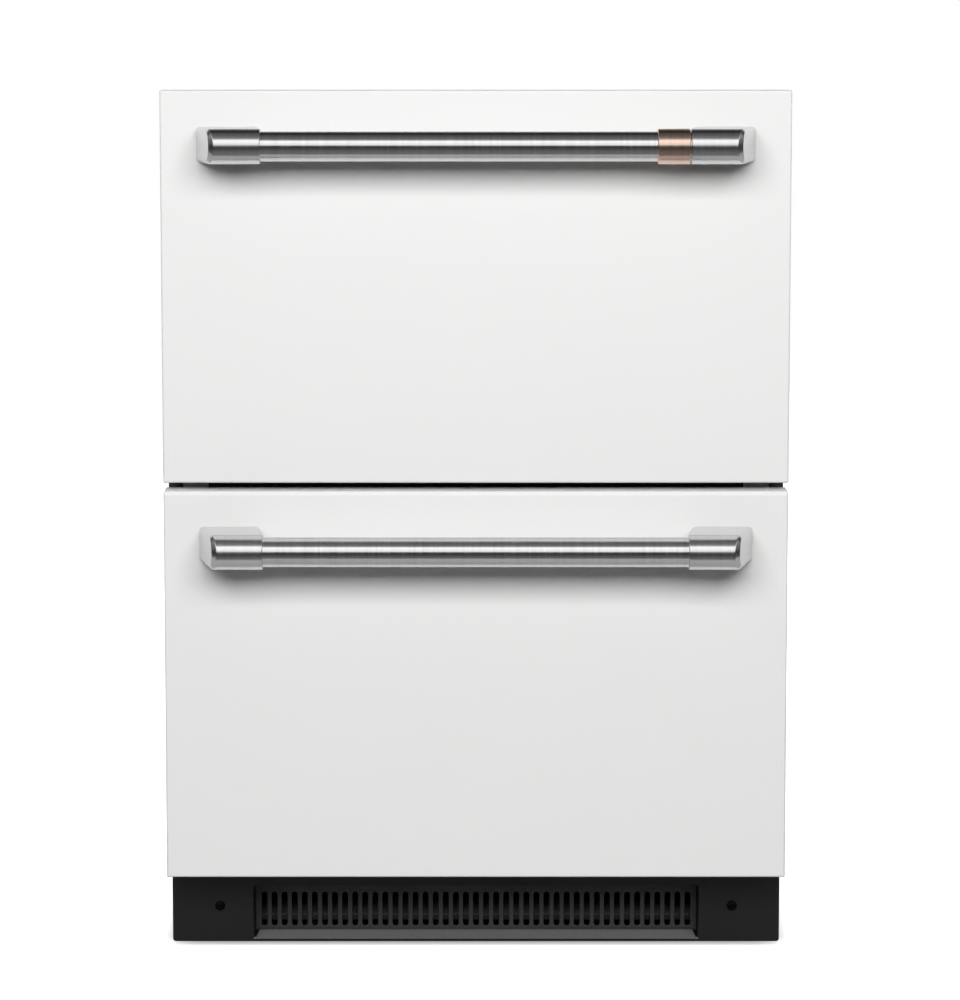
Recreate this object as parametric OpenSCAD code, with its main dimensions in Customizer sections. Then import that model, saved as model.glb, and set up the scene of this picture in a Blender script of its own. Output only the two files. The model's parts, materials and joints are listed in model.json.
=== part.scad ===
// Undercounter drawer refrigerator, 24 in class, with two full-extension drawers.
// Front faces -Y, the unit stands on z = 0, and the origin is under the middle of its box.

/* [Cabinet] */
// Width of the outer case
case_w = 602; // [596:1:606]
// Depth of the outer case
case_d = 544; // [540:1:560]
// Height of the upper front's top edge above the floor
overall_h = 850; // [848:1:856]
// How far the fronts rise above the case top
front_rise = 22; // [20:1:26]
// Thickness of the case sheet
sheet_t = 1; // [0.8:0.1:1.2]
// Width of the folded flange round the case front
case_flange_w = 14; // [10:1:16]
// Insulated wall at the sides, case face to liner face
side_wall = 39; // [36:1:42]
// Insulated wall at the top
top_wall = 34; // [32:1:36]
// Insulated wall at the back of the liner
back_wall = 54; // [50:1:58]
// Insulated wall over and in front of the machine space
machine_wall = 30; // [26:1:32]
// Thickness of the liner
liner_t = 2; // [1.5:0.5:3]
// Corner radius of the liner, seen from the front
liner_r = 16; // [8:1:20]
// Insulation under the liner floor
floor_wall = 24; // [22:1:26]
// Height of the face of the mullion between the drawers
mullion_h = 48; // [47:1:50]
// Depth of the mullion
mullion_d = 44; // [30:1:60]
// Wall of the mullion
mullion_t = 2; // [1.5:0.5:3]
// How far the back panel and machine cover stand in from the case's rear edge
back_in = 4; // [4:0.5:6]
// Height of the beads pressed in the back panel
bead_h = 2.5; // [1:0.5:3]
// Pitch of the beads in the back panel
bead_pitch = 120; // [90:5:125]

/* [Drawer fronts] */
// Width of the drawer fronts
front_w = 603; // [600:1:608]
// Height of the upper front
upper_front_h = 377; // [374:1:380]
// How far the lower front hangs over the toe kick
front_lap = 3; // [1:0.5:5]
// Gap between the two fronts
front_gap = 8; // [6:1:10]
// Depth of the painted skin
skin_d = 30; // [26:1:36]
// Thickness of the painted skin
skin_t = 1.2; // [0.8:0.1:1.6]
// Width of the skin's folded return at the back
skin_return = 14; // [12:1:18]
// Radius of the skin's front edges
front_edge_r = 5; // [3:0.5:7]
// Radius of the skin's corners, seen from the front
front_corner_r = 3; // [2:0.5:5]
// Depth of the inner panel behind the skin
panel_d = 17; // [12:1:22]
// Wall of the inner panel
panel_t = 3; // [2:0.5:4]
// How far the inner panel stands in from the skin's edge
panel_inset = 4; // [3:0.5:5]
// Depth of the gasket between the inner panel and the cabinet
gasket_d = 12; // [10:1:14]
// Width of the gasket's magnet tube
gasket_w = 12; // [10:1:13]
// Gasket's distance from the inner panel's edge beside the mullion
gasket_edge = 2; // [1:0.5:3]
// Gasket's distance from the rim of the cabinet's opening
gasket_rim = 6; // [4:0.5:8]

/* [Handles] */
// Distance of the handle axis from the front
handle_reach = 55; // [45:1:65]
// Radius of the handle rod
rod_r = 14.2; // [12:0.1:15]
// Wall of the handle rod, which is a tube
rod_t = 2; // [1.5:0.1:3]
// Radius of the brackets' barrels and of the ring
barrel_r = 16.75; // [16:0.25:18]
// Handle axis below each front's top edge
handle_drop = 51; // [40:1:80]
// Outer edge of a bracket's foot from the front's side edge
handle_inset = 34.5; // [20:0.5:60]
// Width of a bracket's foot on the front
foot_w = 53.3; // [46:0.1:70]
// How far a bracket's outer end leans in from foot to nose
outer_lean = 17.4; // [10:0.1:20]
// How far its inner end leans in from foot to barrel
inner_lean = 9; // [4:0.5:12]
// Length of the straight collar at the barrel's inner end
collar_l = 2.5; // [1.5:0.5:5]
// Chamfer round the collar's end
collar_chamfer = 0.6; // [0.3:0.1:1]
// Chamfer round a bracket's outer end
bracket_chamfer = 2.6; // [1.5:0.1:4]
// Depth of the rod's socket in a bracket
socket_l = 18; // [12:1:24]
// Width of the copper-coloured ring on the upper handle
ring_w = 30.7; // [20:0.1:40]
// Groove between the ring and the bracket
ring_gap = 0.8; // [0.4:0.1:0.9]
// Chamfer of the ring's rims
ring_chamfer = 0.6; // [0.3:0.1:1]

/* [Toe kick and grille] */
// Clearance under the toe kick
kick_z = 6; // [5:0.5:8]
// Height of the toe kick
kick_h = 82; // [80:1:84]
// Depth of the toe kick's folded ends
kick_d = 25; // [20:1:30]
// Thickness of the toe kick's sheet
kick_t = 1.2; // [0.8:0.1:1.6]
// Corner radius of the toe kick's lower corners
kick_r = 3; // [2:0.5:6]
// Width of the vent recess
recess_w = 442; // [438:1:446]
// Height of the vent recess
recess_h = 54; // [50:1:58]
// Depth of the vent recess
recess_d = 37; // [30:1:40]
// Lip under the vent recess
recess_lip = 2.5; // [2:0.5:4]
// Gap at each end of the recess floor, at its front edge
floor_slit = 1.8; // [1:0.1:3]
// How much wider that gap is at its back edge
floor_slant = 2.2; // [1:0.1:3]
// Number of vent slots
slot_count = 43; // [20:1:43]
// Pitch of the vent slots
slot_pitch = 10.1; // [9:0.1:10.2]
// Width of a vent slot
slot_w = 5.8; // [4:0.1:7]
// Length of a vent slot
slot_l = 35; // [30:1:38]
// Vent slots' lower ends above the recess floor
slot_rise = 3.5; // [2:0.5:6]
// Thickness of the grille
grille_t = 3; // [2:0.5:4]
// Distance of each toe-kick screw from the case's side
kick_screw_inset = 47; // [40:1:56]
// Height of the toe-kick screws above its lower edge
kick_screw_rise = 36; // [26:1:44]

/* [Fasteners] */
// Radius of a panel screw's head
screw_head_r = 4.3; // [3.5:0.1:5]
// Height of a panel screw's head
screw_head_h = 2; // [1.5:0.1:2.4]
// Radius of a panel screw's shank
screw_r = 2; // [1.5:0.1:2.5]
// Length of a panel screw's shank
screw_l = 16; // [12:1:20]

/* [Drawers and slides] */
// Thickness of a slide, liner to bin
slide_t = 12.7; // [12.6:0.1:13.4]
// Height of a slide
slide_h = 45; // [45:1:50]
// Length of a slide
slide_l = 450; // [440:1:455]
// Slide's front end behind the case front
slide_in = 4; // [2:1:8]
// Thickness of the slide's steel
slide_steel = 1.2; // [1:0.1:1.3]
// Lip that keeps a row of balls in
slide_lip = 2; // [1.5:0.1:2.2]
// Radius of the slide's balls
ball_r = 1.6; // [1.5:0.1:1.7]
// Balls along each race of a slide
ball_count = 4; // [3:1:8]
// Wall of a bin
bin_t = 2.5; // [2:0.5:3]
// Corner radius of a bin, seen from above
bin_r = 22; // [12:1:30]
// Width of the bin's rim
rim_w = 5; // [4:0.5:7]
// Thickness of the bin's rim
rim_t = 3; // [2:0.5:4]
// Inner length of a bin
bin_l = 452; // [440:1:455]
// Room under a bin
bin_clear = 7; // [5:1:8]
// Room over a bin
bin_head = 10; // [8:1:14]
// Height of the upper slides above the upper bin's underside
upper_slide_rise = 44; // [30:1:120]
// Depth of the lower slides below the lower bin's rim
lower_slide_drop = 38; // [34:1:80]
// Thickness of the upper bin's divider
divider_t = 4; // [3:0.5:6]
// Gap under the divider
divider_rise = 40; // [20:1:60]
// Radius of the divider's lower corners
divider_r = 10; // [4:1:20]
// Place of the divider behind the bin's front wall
divider_y = 225; // [170:5:280]

/* [Cooling] */
// Height of the machine space above the base pan's underside
machine_h = 233; // [230:1:240]
// Depth of the machine space
machine_d = 213; // [205:1:220]
// Radius of the compressor's shell
compressor_r = 74; // [66:1:78]
// Height of the compressor's shell
compressor_h = 160; // [140:1:165]
// Wall of the compressor's shell
compressor_t = 6; // [3:0.5:8]
// Radius of the domes at the compressor's ends
dome_r = 120; // [100:5:160]
// Distance of the compressor from the middle
compressor_x = 110; // [100:5:130]
// Height of the compressor's rubber mounts
mount_h = 14; // [10:1:18]
// Radius of the condenser fan
condenser_fan_r = 60; // [50:1:62]
// Distance of the condenser fan from the middle
condenser_fan_x = 140; // [110:5:150]
// Radius of the evaporator fan
evaporator_fan_r = 42; // [34:1:44]
// Pitch angle of the fan blades
blade_pitch = 32; // [20:1:40]
// Radius of the refrigerant tubes
tube_r = 3; // [2.5:0.5:4]
// Passes of the condenser coil
condenser_passes = 8; // [4:2:8]
// Passes of the evaporator coil
evaporator_passes = 6; // [4:2:6]
// Length of an evaporator pass
evaporator_w = 330; // [280:10:340]
// Fins of the evaporator
fin_count = 18; // [10:1:24]
// Radius of the bore for the power cord
gland_bore_r = 4.2; // [3.5:0.1:5]
// Distance of the cord gland from the case's left side
gland_inset = 71; // [50:1:90]
// Height of the cord gland above the base pan
gland_rise = 62; // [50:1:80]
// Width of a louvre in the machine cover
louvre_w = 108; // [80:1:120]
// Height of a louvre's hood
louvre_h = 10; // [8:0.5:12]
// How far a louvre's hood stands out
louvre_out = 3; // [2:0.5:3]
// Pitch of the louvres
louvre_pitch = 18; // [16:1:19]
// Radius of the drain tube under the evaporator
drain_r = 8; // [6:0.5:10]
// Gap between the evaporator's fins and its fan
evaporator_gap = 51; // [20:1:60]
// Gap between the evaporator fan and the liner's ceiling
evaporator_fan_gap = 30; // [16:1:40]
// Length of the electronics box, front to back
board_l = 108; // [80:1:120]
// Height of the electronics box
board_h = 130; // [90:1:140]
// Depth of the electronics box
board_d = 58; // [40:1:70]

/* [Controls] */
// Width of the control housing
control_w = 180; // [170:1:220]
// Height of the control housing
control_h = 22; // [20:1:23]
// Depth of the control housing
control_d = 70; // [50:1:90]
// Radius of a push button
button_r = 5; // [4:0.5:6]
// How far a button stands out
button_out = 2; // [1.8:0.1:3]
// Travel of a push button
button_travel = 1.2; // [0.8:0.1:1.5]
// Pitch of the push buttons
button_pitch = 22; // [18:1:24]
// Width of the display window
display_w = 56; // [40:1:64]
// Height of the display window
display_h = 13; // [10:1:15]
// Length of the light lens
light_l = 260; // [200:10:320]
// Width of the light lens
light_w = 26; // [20:1:34]
// Distance of the light lens behind the case front
light_y = 125; // [110:5:160]
// Distance of the temperature sensor from the middle
sensor_x = 180; // [160:5:200]
// Distance of the temperature sensor behind the case front
sensor_y = 250; // [200:5:300]

/* [Legs and brackets] */
// Clearance under the base pan
pan_z = 18; // [17:1:20]
// Height of the base pan's folded edge
pan_edge_h = 22; // [18:1:26]
// Height of the base pan's lip behind the vent grille
pan_lip_h = 5; // [3:0.5:8]
// Height of the threaded bosses in the base pan
boss_h = 14; // [10:1:20]
// Radius of a leg's foot
foot_r = 19; // [15:1:22]
// Thickness of a leg's foot
foot_t = 8; // [6:1:9]
// Radius of a leg's stud
stud_r = 5; // [4:0.5:6]
// Length of a leg's stud above the base pan's underside
stud_l = 44; // [38:1:50]
// Front and rear legs' distance from the case's ends
leg_inset = 62; // [58:1:80]
// Legs' distance from the case's sides
leg_side = 38; // [34:1:40]
// Width of a top mounting bracket
tie_w = 34; // [28:1:40]
// Thickness of a top mounting bracket
tie_t = 2; // [1.5:0.5:3]
// Rise of a mounting bracket towards the worktop
tie_rise = 18; // [12:1:19]
// Length of each leaf of a mounting bracket, front to back
tie_leaf = 38; // [34:1:44]
// Hole spacing in a mounting bracket, front to back
tie_pitch = 20; // [16:1:22]
// Distance of each mounting bracket from the middle
tie_x = 200; // [120:5:240]
// Radius of a mounting hole
tie_hole_r = 2.75; // [2:0.25:3]

/* [Hidden] */

$fn = 64;
seat = 0.3;        // clearance between neighbours that move or curve
fit = 0.15;        // radial clearance of a rod or a body in its hole
run = 0.05;        // radial clearance of a shaft that turns
over = 1;          // how far a cutter runs past what it cuts
lap = 0.2;         // how far joined outlines run into each other

white = [0.93, 0.93, 0.92];
steel = [0.70, 0.71, 0.72];
dark = [0.13, 0.13, 0.14];
copper = [0.72, 0.45, 0.33];
pale = [0.86, 0.87, 0.88];
foam = [0.93, 0.86, 0.62];
grey = [0.45, 0.46, 0.48];

// Depths, from the handle's nose to the back
front_y = (handle_reach + barrel_r - skin_d - panel_d - gasket_d - case_d) / 2;
panel_y = front_y + skin_d;
gasket_y = panel_y + panel_d;
case_y = gasket_y + gasket_d;
back_y = case_y + case_d;
cover_y = back_y - back_in - sheet_t;              // front face of the back panel and machine cover
case_in = case_w / 2 - sheet_t;

// Heights
case_top_z = overall_h - front_rise;
upper_front_z = overall_h - upper_front_h;
kick_top_z = kick_z + kick_h;
lower_front_z = kick_top_z - front_lap;
lower_front_h = upper_front_z - front_gap - lower_front_z;
mullion_z = upper_front_z - front_gap / 2 - mullion_h / 2;
deck_z = kick_top_z + seat;                        // underside of the sheet under the cold space
liner_floor_z = deck_z + floor_wall;

// Liner and machine space
liner_x = case_w / 2 - side_wall;
liner_top_z = case_top_z - top_wall;
liner_l = case_d - back_wall;
machine_y = back_y - machine_d;
machine_top_z = pan_z + machine_h;
step_z = machine_top_z + machine_wall;             // liner floor over the machine space
step_l = case_d - machine_d - machine_wall;        // liner depth in front of it
pan_top_z = pan_z + sheet_t;

// Slides and bins
bin_x = liner_x - slide_t;
bin_back_y = gasket_y + bin_l + 2 * bin_t;
upper_bin_z = mullion_z + mullion_h + bin_clear;
lower_bin_z = liner_floor_z + bin_clear;
bin_step_z = step_z + bin_clear;
upper_bin_top_z = liner_top_z - control_h - bin_head;
lower_bin_top_z = mullion_z - bin_head;
bin_step_y = case_y + step_l - 2 * bin_clear;
slide_y = case_y + slide_in;
upper_slide_z = upper_bin_z + upper_slide_rise;
lower_slide_z = lower_bin_top_z - lower_slide_drop;
race = 2 * (ball_r + seat);                        // space between flanges that holds a row of balls
middle_h = slide_h - 2 * slide_steel - 2 * race;
inner_h = middle_h - 2 * slide_steel - 2 * race;
member_step = (slide_t - slide_steel) / 5;         // how deep each member stands in the next

// Handle
foot_out_x = front_w / 2 - handle_inset;
foot_in_x = foot_out_x - foot_w;
arm_in_x = foot_in_x - inner_lean;
collar_x = arm_in_x - collar_l;
bracket_l = handle_reach + barrel_r;
lean_angle = atan2(outer_lean, bracket_l);
upper_handle_z = overall_h - handle_drop;
lower_handle_z = lower_front_z + lower_front_h - handle_drop;

// Vent
recess_z = kick_z + recess_lip;
recess_top_z = recess_z + recess_h;
grille_y = case_y + recess_d;
slot_z = recess_z + slot_rise;
kick_tab_y = case_y + kick_d / 2;                  // tab of the base pan behind the toe kick
kick_screw_z = kick_z + kick_screw_rise;

// Cooling
compressor_y = machine_y + machine_d / 2;
mount_x = compressor_r - 10;                       // rubber mounts from the compressor's axis
plate_t = 3;
plate_z = pan_top_z + mount_h;                     // the compressor's base plate
shell_z = plate_z + plate_t;
shroud_in = 8;                                     // the shroud's plate round its duct
shroud_y = machine_y + shroud_in;
shroud_d = 24;
condenser_fan_z = pan_top_z + condenser_fan_r + shroud_in;
coil_pitch = 34;
coil_x = 160;                                      // half length of a condenser pass
coil_z = pan_top_z + 22;
coil_y = case_y + 76;
evaporator_y = bin_back_y + 6;                     // front face of the evaporator cover
evaporator_cover_t = 2.5;
liner_back_y = case_y + liner_l;
evaporator_fan_z = liner_top_z - evaporator_fan_r - evaporator_fan_gap;
evaporator_pitch = 25;
evaporator_l = (evaporator_passes - 1) * evaporator_pitch;
fin_over = evaporator_pitch / 2;                   // fin beyond the first and last pass
evaporator_z = evaporator_fan_z - evaporator_fan_r - evaporator_gap - fin_over - evaporator_l;
evaporator_x = evaporator_w / 2;

drain_y = back_y - back_wall - drain_r - 4;        // drain tube, in front of the liner's back
drain_pan_z = shell_z + compressor_h;
drain_pan_h = 22;
drain_pan_t = 2;
stub_y = 20;                                       // the compressor's two tube stubs
stub_l = 14;
stub_z = shell_z + compressor_h * 0.4;
mount_r = 11;
mount_neck_r = 6;
fan_x = -condenser_fan_x;
board_rise = 54;                                   // electronics box above the base pan's edge
motor_r = 17;
motor_l = 30;
condenser_hub_r = 16;
evaporator_hub_r = 13;
shaft_r = 3;
gland_x = gland_inset - case_w / 2;
gland_z = pan_z + gland_rise;
gland_body_r = gland_bore_r + 5;
gland_in = 10;                                     // how far the gland reaches in behind the cover

// Controls
control_y = case_y + 6;
control_z = liner_top_z - control_h;
button_z = control_z + control_h / 2;
pocket_l = 6;
buttons_x = [for (i = [0:2]) 14 + i * button_pitch];
window_x = 12 - control_w / 2;                     // left end of the display window
window_t = 1.5;
window_r = 2;

// Screws and brackets
cover_screw_x = case_w / 2 - 51;
cover_screws_x = [-cover_screw_x, -cover_screw_x / 3, cover_screw_x / 3, cover_screw_x];
cover_screws_z = pan_z + pan_edge_h / 2;
kick_screw_x = case_w / 2 - kick_screw_inset;
tie_riser_y = case_y + tie_leaf + 12;
tie_foot_y = tie_riser_y + tie_leaf / 2;           // the two screws that hold a bracket on the case

// Legs
boss_r = 2 * stud_r;
leg_x = case_w / 2 - leg_side;

// ---------------------------------------------------------------- shared shapes

// Box between two corners
module block(low, high) {
    translate(low) cube(high - low);
}

// Outline in Y and Z, drawn out along X
module along_x(x0, x1) {
    translate([x0, 0, 0]) rotate([90, 0, 90]) linear_extrude(x1 - x0) children();
}

// Outline in X and Z, drawn out along Y
module along_y(y0, y1) {
    translate([0, y1, 0]) rotate([90, 0, 0]) linear_extrude(y1 - y0) children();
}

// Outline in X and Y, drawn out along Z
module along_z(z0, z1) {
    translate([0, 0, z0]) linear_extrude(z1 - z0) children();
}

// Cylinder lying along Y
module rod_y(y0, y1, r) {
    translate([0, y1, 0]) rotate([90, 0, 0]) cylinder(h = y1 - y0, r = r);
}

// Cylinder lying along X
module rod_x(x0, x1, r) {
    translate([x0, 0, 0]) rotate([0, 90, 0]) cylinder(h = x1 - x0, r = r);
}

// Holes or screws in pairs, across each mounting bracket's rear leaf
module at_tie_screws(z) {
    both_sides() for (x = [-tie_pitch / 2, tie_pitch / 2]) translate([tie_x + x, tie_foot_y, z]) children();
}

// Bore for the drain tube, from its lower end to the liner's floor
module drain_bore(r) {
    translate([compressor_x, drain_y, machine_top_z - over])
        cylinder(h = step_z - machine_top_z + 2 * over, r = r);
}

module rectangle(low, high) {
    translate(low) square(high - low);
}

// Rectangle between two corners with rounded corners
module rounded_rect(low, high, r) {
    rectangle([low[0] + r, low[1]], [high[0] - r, high[1]]);
    rectangle([low[0], low[1] + r], [high[0], high[1] - r]);
    for (x = [low[0] + r, high[0] - r], y = [low[1] + r, high[1] - r]) translate([x, y]) circle(r);
}

// Slot with round ends, standing on its lower end
module upright_slot(w, l) {
    rectangle([-w / 2, w / 2], [w / 2, l - w / 2]);
    for (y = [w / 2, l - w / 2]) translate([0, y]) circle(w / 2);
}

// Slot with round ends, lying along X about its middle
module flat_slot(l, w) {
    rectangle([-(l - w) / 2, -w / 2], [(l - w) / 2, w / 2]);
    for (x = [-(l - w) / 2, (l - w) / 2]) translate([x, 0]) circle(w / 2);
}

// Ring of width w between two corners
module frame_outline(low, high, w) {
    difference() {
        rectangle(low, high);
        rectangle(low + [w, w], high - [w, w]);
    }
}

module both_sides() {
    children();
    mirror([1, 0, 0]) children();
}

// ---------------------------------------------------------------- cabinet

// The cold space inside the liner, grown outwards by g and past the case front by ahead
module cold_space(g, ahead) {
    back = case_y + liner_l + g;
    intersection() {
        along_x(-liner_x - g, liner_x + g) polygon([
            [case_y - ahead, liner_floor_z - g], [case_y + step_l + g, liner_floor_z - g],
            [case_y + step_l + g, step_z - g], [back, step_z - g],
            [back, liner_top_z + g], [case_y - ahead, liner_top_z + g]
        ]);
        along_y(case_y - ahead - over, back + over)
            rounded_rect([-liner_x - g, liner_floor_z - g], [liner_x + g, liner_top_z + g], liner_r + g);
    }
}

// Two sides and a top folded from one sheet, a flange round the front, and the stepped deck that
// parts the cold space from the machine space
module outer_case() {
    half = case_w / 2;
    color(steel) difference() {
        union() {
            difference() {
                block([-half, case_y, pan_z], [half, back_y, case_top_z]);
                block([-case_in, case_y - over, pan_z - over],
                      [case_in, back_y + over, case_top_z - sheet_t]);
            }
            along_y(case_y, case_y + sheet_t) difference() {
                rectangle([-half, deck_z], [half, case_top_z]);
                rectangle([-half + case_flange_w, deck_z - over],
                          [half - case_flange_w, case_top_z - case_flange_w]);
            }
            along_x(-case_in, case_in) polygon([
                [case_y, deck_z], [machine_y, deck_z], [machine_y, machine_top_z],
                [cover_y, machine_top_z], [cover_y, machine_top_z + sheet_t],
                [machine_y - sheet_t, machine_top_z + sheet_t], [machine_y - sheet_t, deck_z + sheet_t],
                [case_y, deck_z + sheet_t]
            ]);
        }
        block([-half - over, case_y - over, pan_z - over], [half + over, case_y + kick_d + seat, deck_z]);
        at_tie_screws(case_top_z - 2 * sheet_t) cylinder(h = 4 * sheet_t, r = screw_r + fit);
        drain_bore(drain_r + fit);
    }
}

// Sheet over the foam, with round beads pressed across it
module back_panel() {
    bead_r = 8;
    bead_end = 75;                                 // end of a bead from the case's side
    first_z = machine_top_z + 108;
    axis_y = cover_y + sheet_t + bead_h - bead_r;
    half = case_w / 2 - bead_end;
    color(steel) union() {
        block([-case_in, cover_y, machine_top_z + sheet_t],
              [case_in, cover_y + sheet_t, case_top_z - sheet_t]);
        for (i = [0:3]) intersection() {
            translate([0, axis_y, first_z + i * bead_pitch]) {
                rod_x(-half, half, bead_r);
                for (x = [-half, half]) translate([x, 0, 0]) sphere(bead_r);
            }
            block([-case_in, cover_y + sheet_t / 2, machine_top_z], [case_in, back_y, case_top_z]);
        }
    }
}

// Where the four legs stand
module at_legs() {
    for (x = [-leg_x, leg_x], y = [case_y + leg_inset, back_y - leg_inset]) translate([x, y, 0]) children();
}

// Folded tray with threaded bosses for the legs, and a tab behind each toe-kick screw
module base_pan() {
    front = grille_y + grille_t + seat;
    tab_w = 22;
    color(steel) difference() {
        union() {
            difference() {
                block([-case_in, front, pan_z], [case_in, cover_y, pan_z + pan_edge_h]);
                block([-case_in + sheet_t, front + sheet_t, pan_top_z],
                      [case_in - sheet_t, cover_y - sheet_t, pan_z + pan_edge_h + over]);
                block([-case_in + sheet_t, front - over, pan_z + pan_lip_h],
                      [case_in - sheet_t, front + 2 * sheet_t, pan_z + pan_edge_h + over]);
            }
            at_legs() translate([0, 0, pan_z]) cylinder(h = boss_h, r = boss_r);
            both_sides() translate([kick_screw_x, 0, 0]) along_x(-tab_w / 2, tab_w / 2) polygon([
                [front, pan_z], [kick_tab_y, pan_z], [kick_tab_y, kick_screw_z + tab_w / 2],
                [kick_tab_y + sheet_t, kick_screw_z + tab_w / 2], [kick_tab_y + sheet_t, pan_top_z],
                [front, pan_top_z]
            ]);
        }
        at_legs() translate([0, 0, pan_z - over]) cylinder(h = boss_h + 2 * over, r = stud_r + seat);
        both_sides() translate([kick_screw_x, 0, kick_screw_z])
            rod_y(kick_tab_y - over, kick_tab_y + 2 * over, screw_r + fit);
        for (x = cover_screws_x) translate([x, 0, cover_screws_z])
            rod_y(cover_y - 2 * sheet_t, cover_y + over, screw_r + fit);
    }
}

module foam_insulation() {
    color(foam) difference() {
        along_x(-case_in, case_in) polygon([
            [case_y + sheet_t, deck_z + sheet_t], [machine_y - sheet_t, deck_z + sheet_t],
            [machine_y - sheet_t, machine_top_z + sheet_t], [cover_y, machine_top_z + sheet_t],
            [cover_y, case_top_z - sheet_t], [case_y + sheet_t, case_top_z - sheet_t]
        ]);
        cold_space(liner_t, over);
        at_tie_screws(case_top_z - screw_l - over) cylinder(h = screw_l + 2 * over, r = screw_r + fit);
        drain_bore(drain_r + fit);
    }
}

// Moulded liner with a flange that covers the foam's front
module inner_liner() {
    flange_x = case_w / 2 - case_flange_w - seat;
    color(pale) difference() {
        union() {
            cold_space(liner_t, 0);
            along_y(case_y, case_y + sheet_t)
                rectangle([-flange_x, deck_z + sheet_t + seat],
                          [flange_x, case_top_z - case_flange_w - seat]);
        }
        cold_space(0, over);
        drain_bore(drain_r + fit);
    }
}

// Folded channel across the opening, between the two drawers
module center_mullion() {
    top = mullion_z + mullion_h;
    color(dark) along_x(-liner_x, liner_x) difference() {
        rectangle([case_y, mullion_z], [case_y + mullion_d, top]);
        rectangle([case_y + mullion_t, mullion_z + mullion_t], [case_y + mullion_d + over, top - mullion_t]);
    }
}

// Folded front sheet: two ends, a top lip, and the vent recess whose floor is a free flap
module toe_kick() {
    half = case_w / 2;
    rx = recess_w / 2;
    end_y = grille_y + grille_t;
    slope = floor_slit + floor_slant;
    color(dark) difference() {
        union() {
            along_y(case_y, case_y + kick_t) difference() {
                rounded_rect([-half, kick_z], [half, kick_top_z], kick_r);
                rectangle([-rx, recess_z], [rx, recess_top_z]);
            }
            both_sides()
                block([half - kick_t, case_y, kick_z + kick_r], [half, case_y + kick_d, kick_top_z - kick_r]);
            block([-half + kick_r, case_y, kick_top_z - kick_t],
                  [half - kick_r, case_y + kick_d / 2, kick_top_z]);
            along_y(case_y, end_y) difference() {
                rectangle([-rx - kick_t, recess_z], [rx + kick_t, recess_top_z + kick_t]);
                rectangle([-rx, recess_z - over], [rx, recess_top_z]);
            }
            along_z(recess_z - kick_t, recess_z) polygon([
                [-rx + floor_slit, case_y], [rx - floor_slit, case_y],
                [rx - slope, end_y], [-rx + slope, end_y]
            ]);
        }
        both_sides() translate([kick_screw_x, 0, kick_screw_z])
            rod_y(case_y - over, case_y + kick_t + over, screw_r + fit);
    }
}

// Slotted plate at the back of the vent recess
module vent_grille() {
    half = recess_w / 2 - fit;
    row = (slot_count - 1) * slot_pitch / 2;
    color(dark) along_y(grille_y, grille_y + grille_t) difference() {
        rectangle([-half, recess_z + fit], [half, recess_top_z - fit]);
        for (x = [-row:slot_pitch:row + slot_pitch / 2]) translate([x, slot_z]) upright_slot(slot_w, slot_l);
    }
}

// Screw with its head on the plane at the origin, its shank along -Z
module panel_screw() {
    head_top_r = screw_head_r - 1;
    rotate_extrude() polygon([
        [0, -screw_l], [screw_r, -screw_l], [screw_r, 0], [screw_head_r, 0],
        [screw_head_r, screw_head_h / 2], [head_top_r, screw_head_h], [0, screw_head_h]
    ]);
}

module panel_screws() {
    color(dark) {
        both_sides() translate([kick_screw_x, case_y, kick_screw_z]) rotate([90, 0, 0]) panel_screw();
        for (x = cover_screws_x) translate([x, cover_y + sheet_t, cover_screws_z])
            rotate([-90, 0, 0]) panel_screw();
        at_tie_screws(case_top_z + tie_t) panel_screw();
    }
}

// Hood of a louvre from the side, standing out over the lanced edge at its foot
module louvre_hood() {
    inner = cover_y + sheet_t / 2;
    outer = cover_y + sheet_t + louvre_out;
    polygon([[inner, 0], [outer, 0], [outer, louvre_h / 3], [inner, louvre_h]]);
}

// Way through the sheet and out under the hood
module louvre_mouth() {
    inner = cover_y + sheet_t / 2;
    outer = cover_y + louvre_out;
    top = louvre_h - 2 * sheet_t;
    polygon([
        [cover_y - over, 0], [cover_y + sheet_t, 0], [cover_y + sheet_t, -over], [outer, -over],
        [outer, louvre_h / 3 - sheet_t / 2], [inner, top], [cover_y - over, top]
    ]);
}

module at_louvres() {
    bank_pitch = 140;
    low_z = pan_z + 56;
    for (i = [-0.5, 0.5, 1.5], j = [0:7])
        translate([i * bank_pitch, 0, low_z + j * louvre_pitch]) children();
}

// Louvred sheet over the machine space, with the gland's hole
module machine_cover() {
    half = louvre_w / 2;
    color(steel) difference() {
        union() {
            block([-case_in + seat, cover_y, pan_z], [case_in - seat, cover_y + sheet_t, machine_top_z]);
            at_louvres() along_x(-half, half) louvre_hood();
        }
        at_louvres() along_x(-half + sheet_t, half - sheet_t) louvre_mouth();
        translate([gland_x, 0, gland_z]) rod_y(cover_y - over, back_y, gland_body_r + fit);
        for (x = cover_screws_x) translate([x, 0, cover_screws_z])
            rod_y(cover_y - over, back_y, screw_r + fit);
    }
}

// Bush that holds the power cord, snapped into the machine cover
module cord_gland() {
    rim_r = gland_body_r + 4;
    outer = cover_y + sheet_t;
    color(dark) translate([gland_x, 0, gland_z]) difference() {
        union() {
            rod_y(outer, back_y - seat, rim_r);
            rod_y(cover_y - over, outer, gland_body_r);
            rod_y(cover_y - gland_in, cover_y, rim_r);
        }
        rod_y(cover_y - gland_in - over, back_y + over, gland_bore_r);
    }
}

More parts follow.
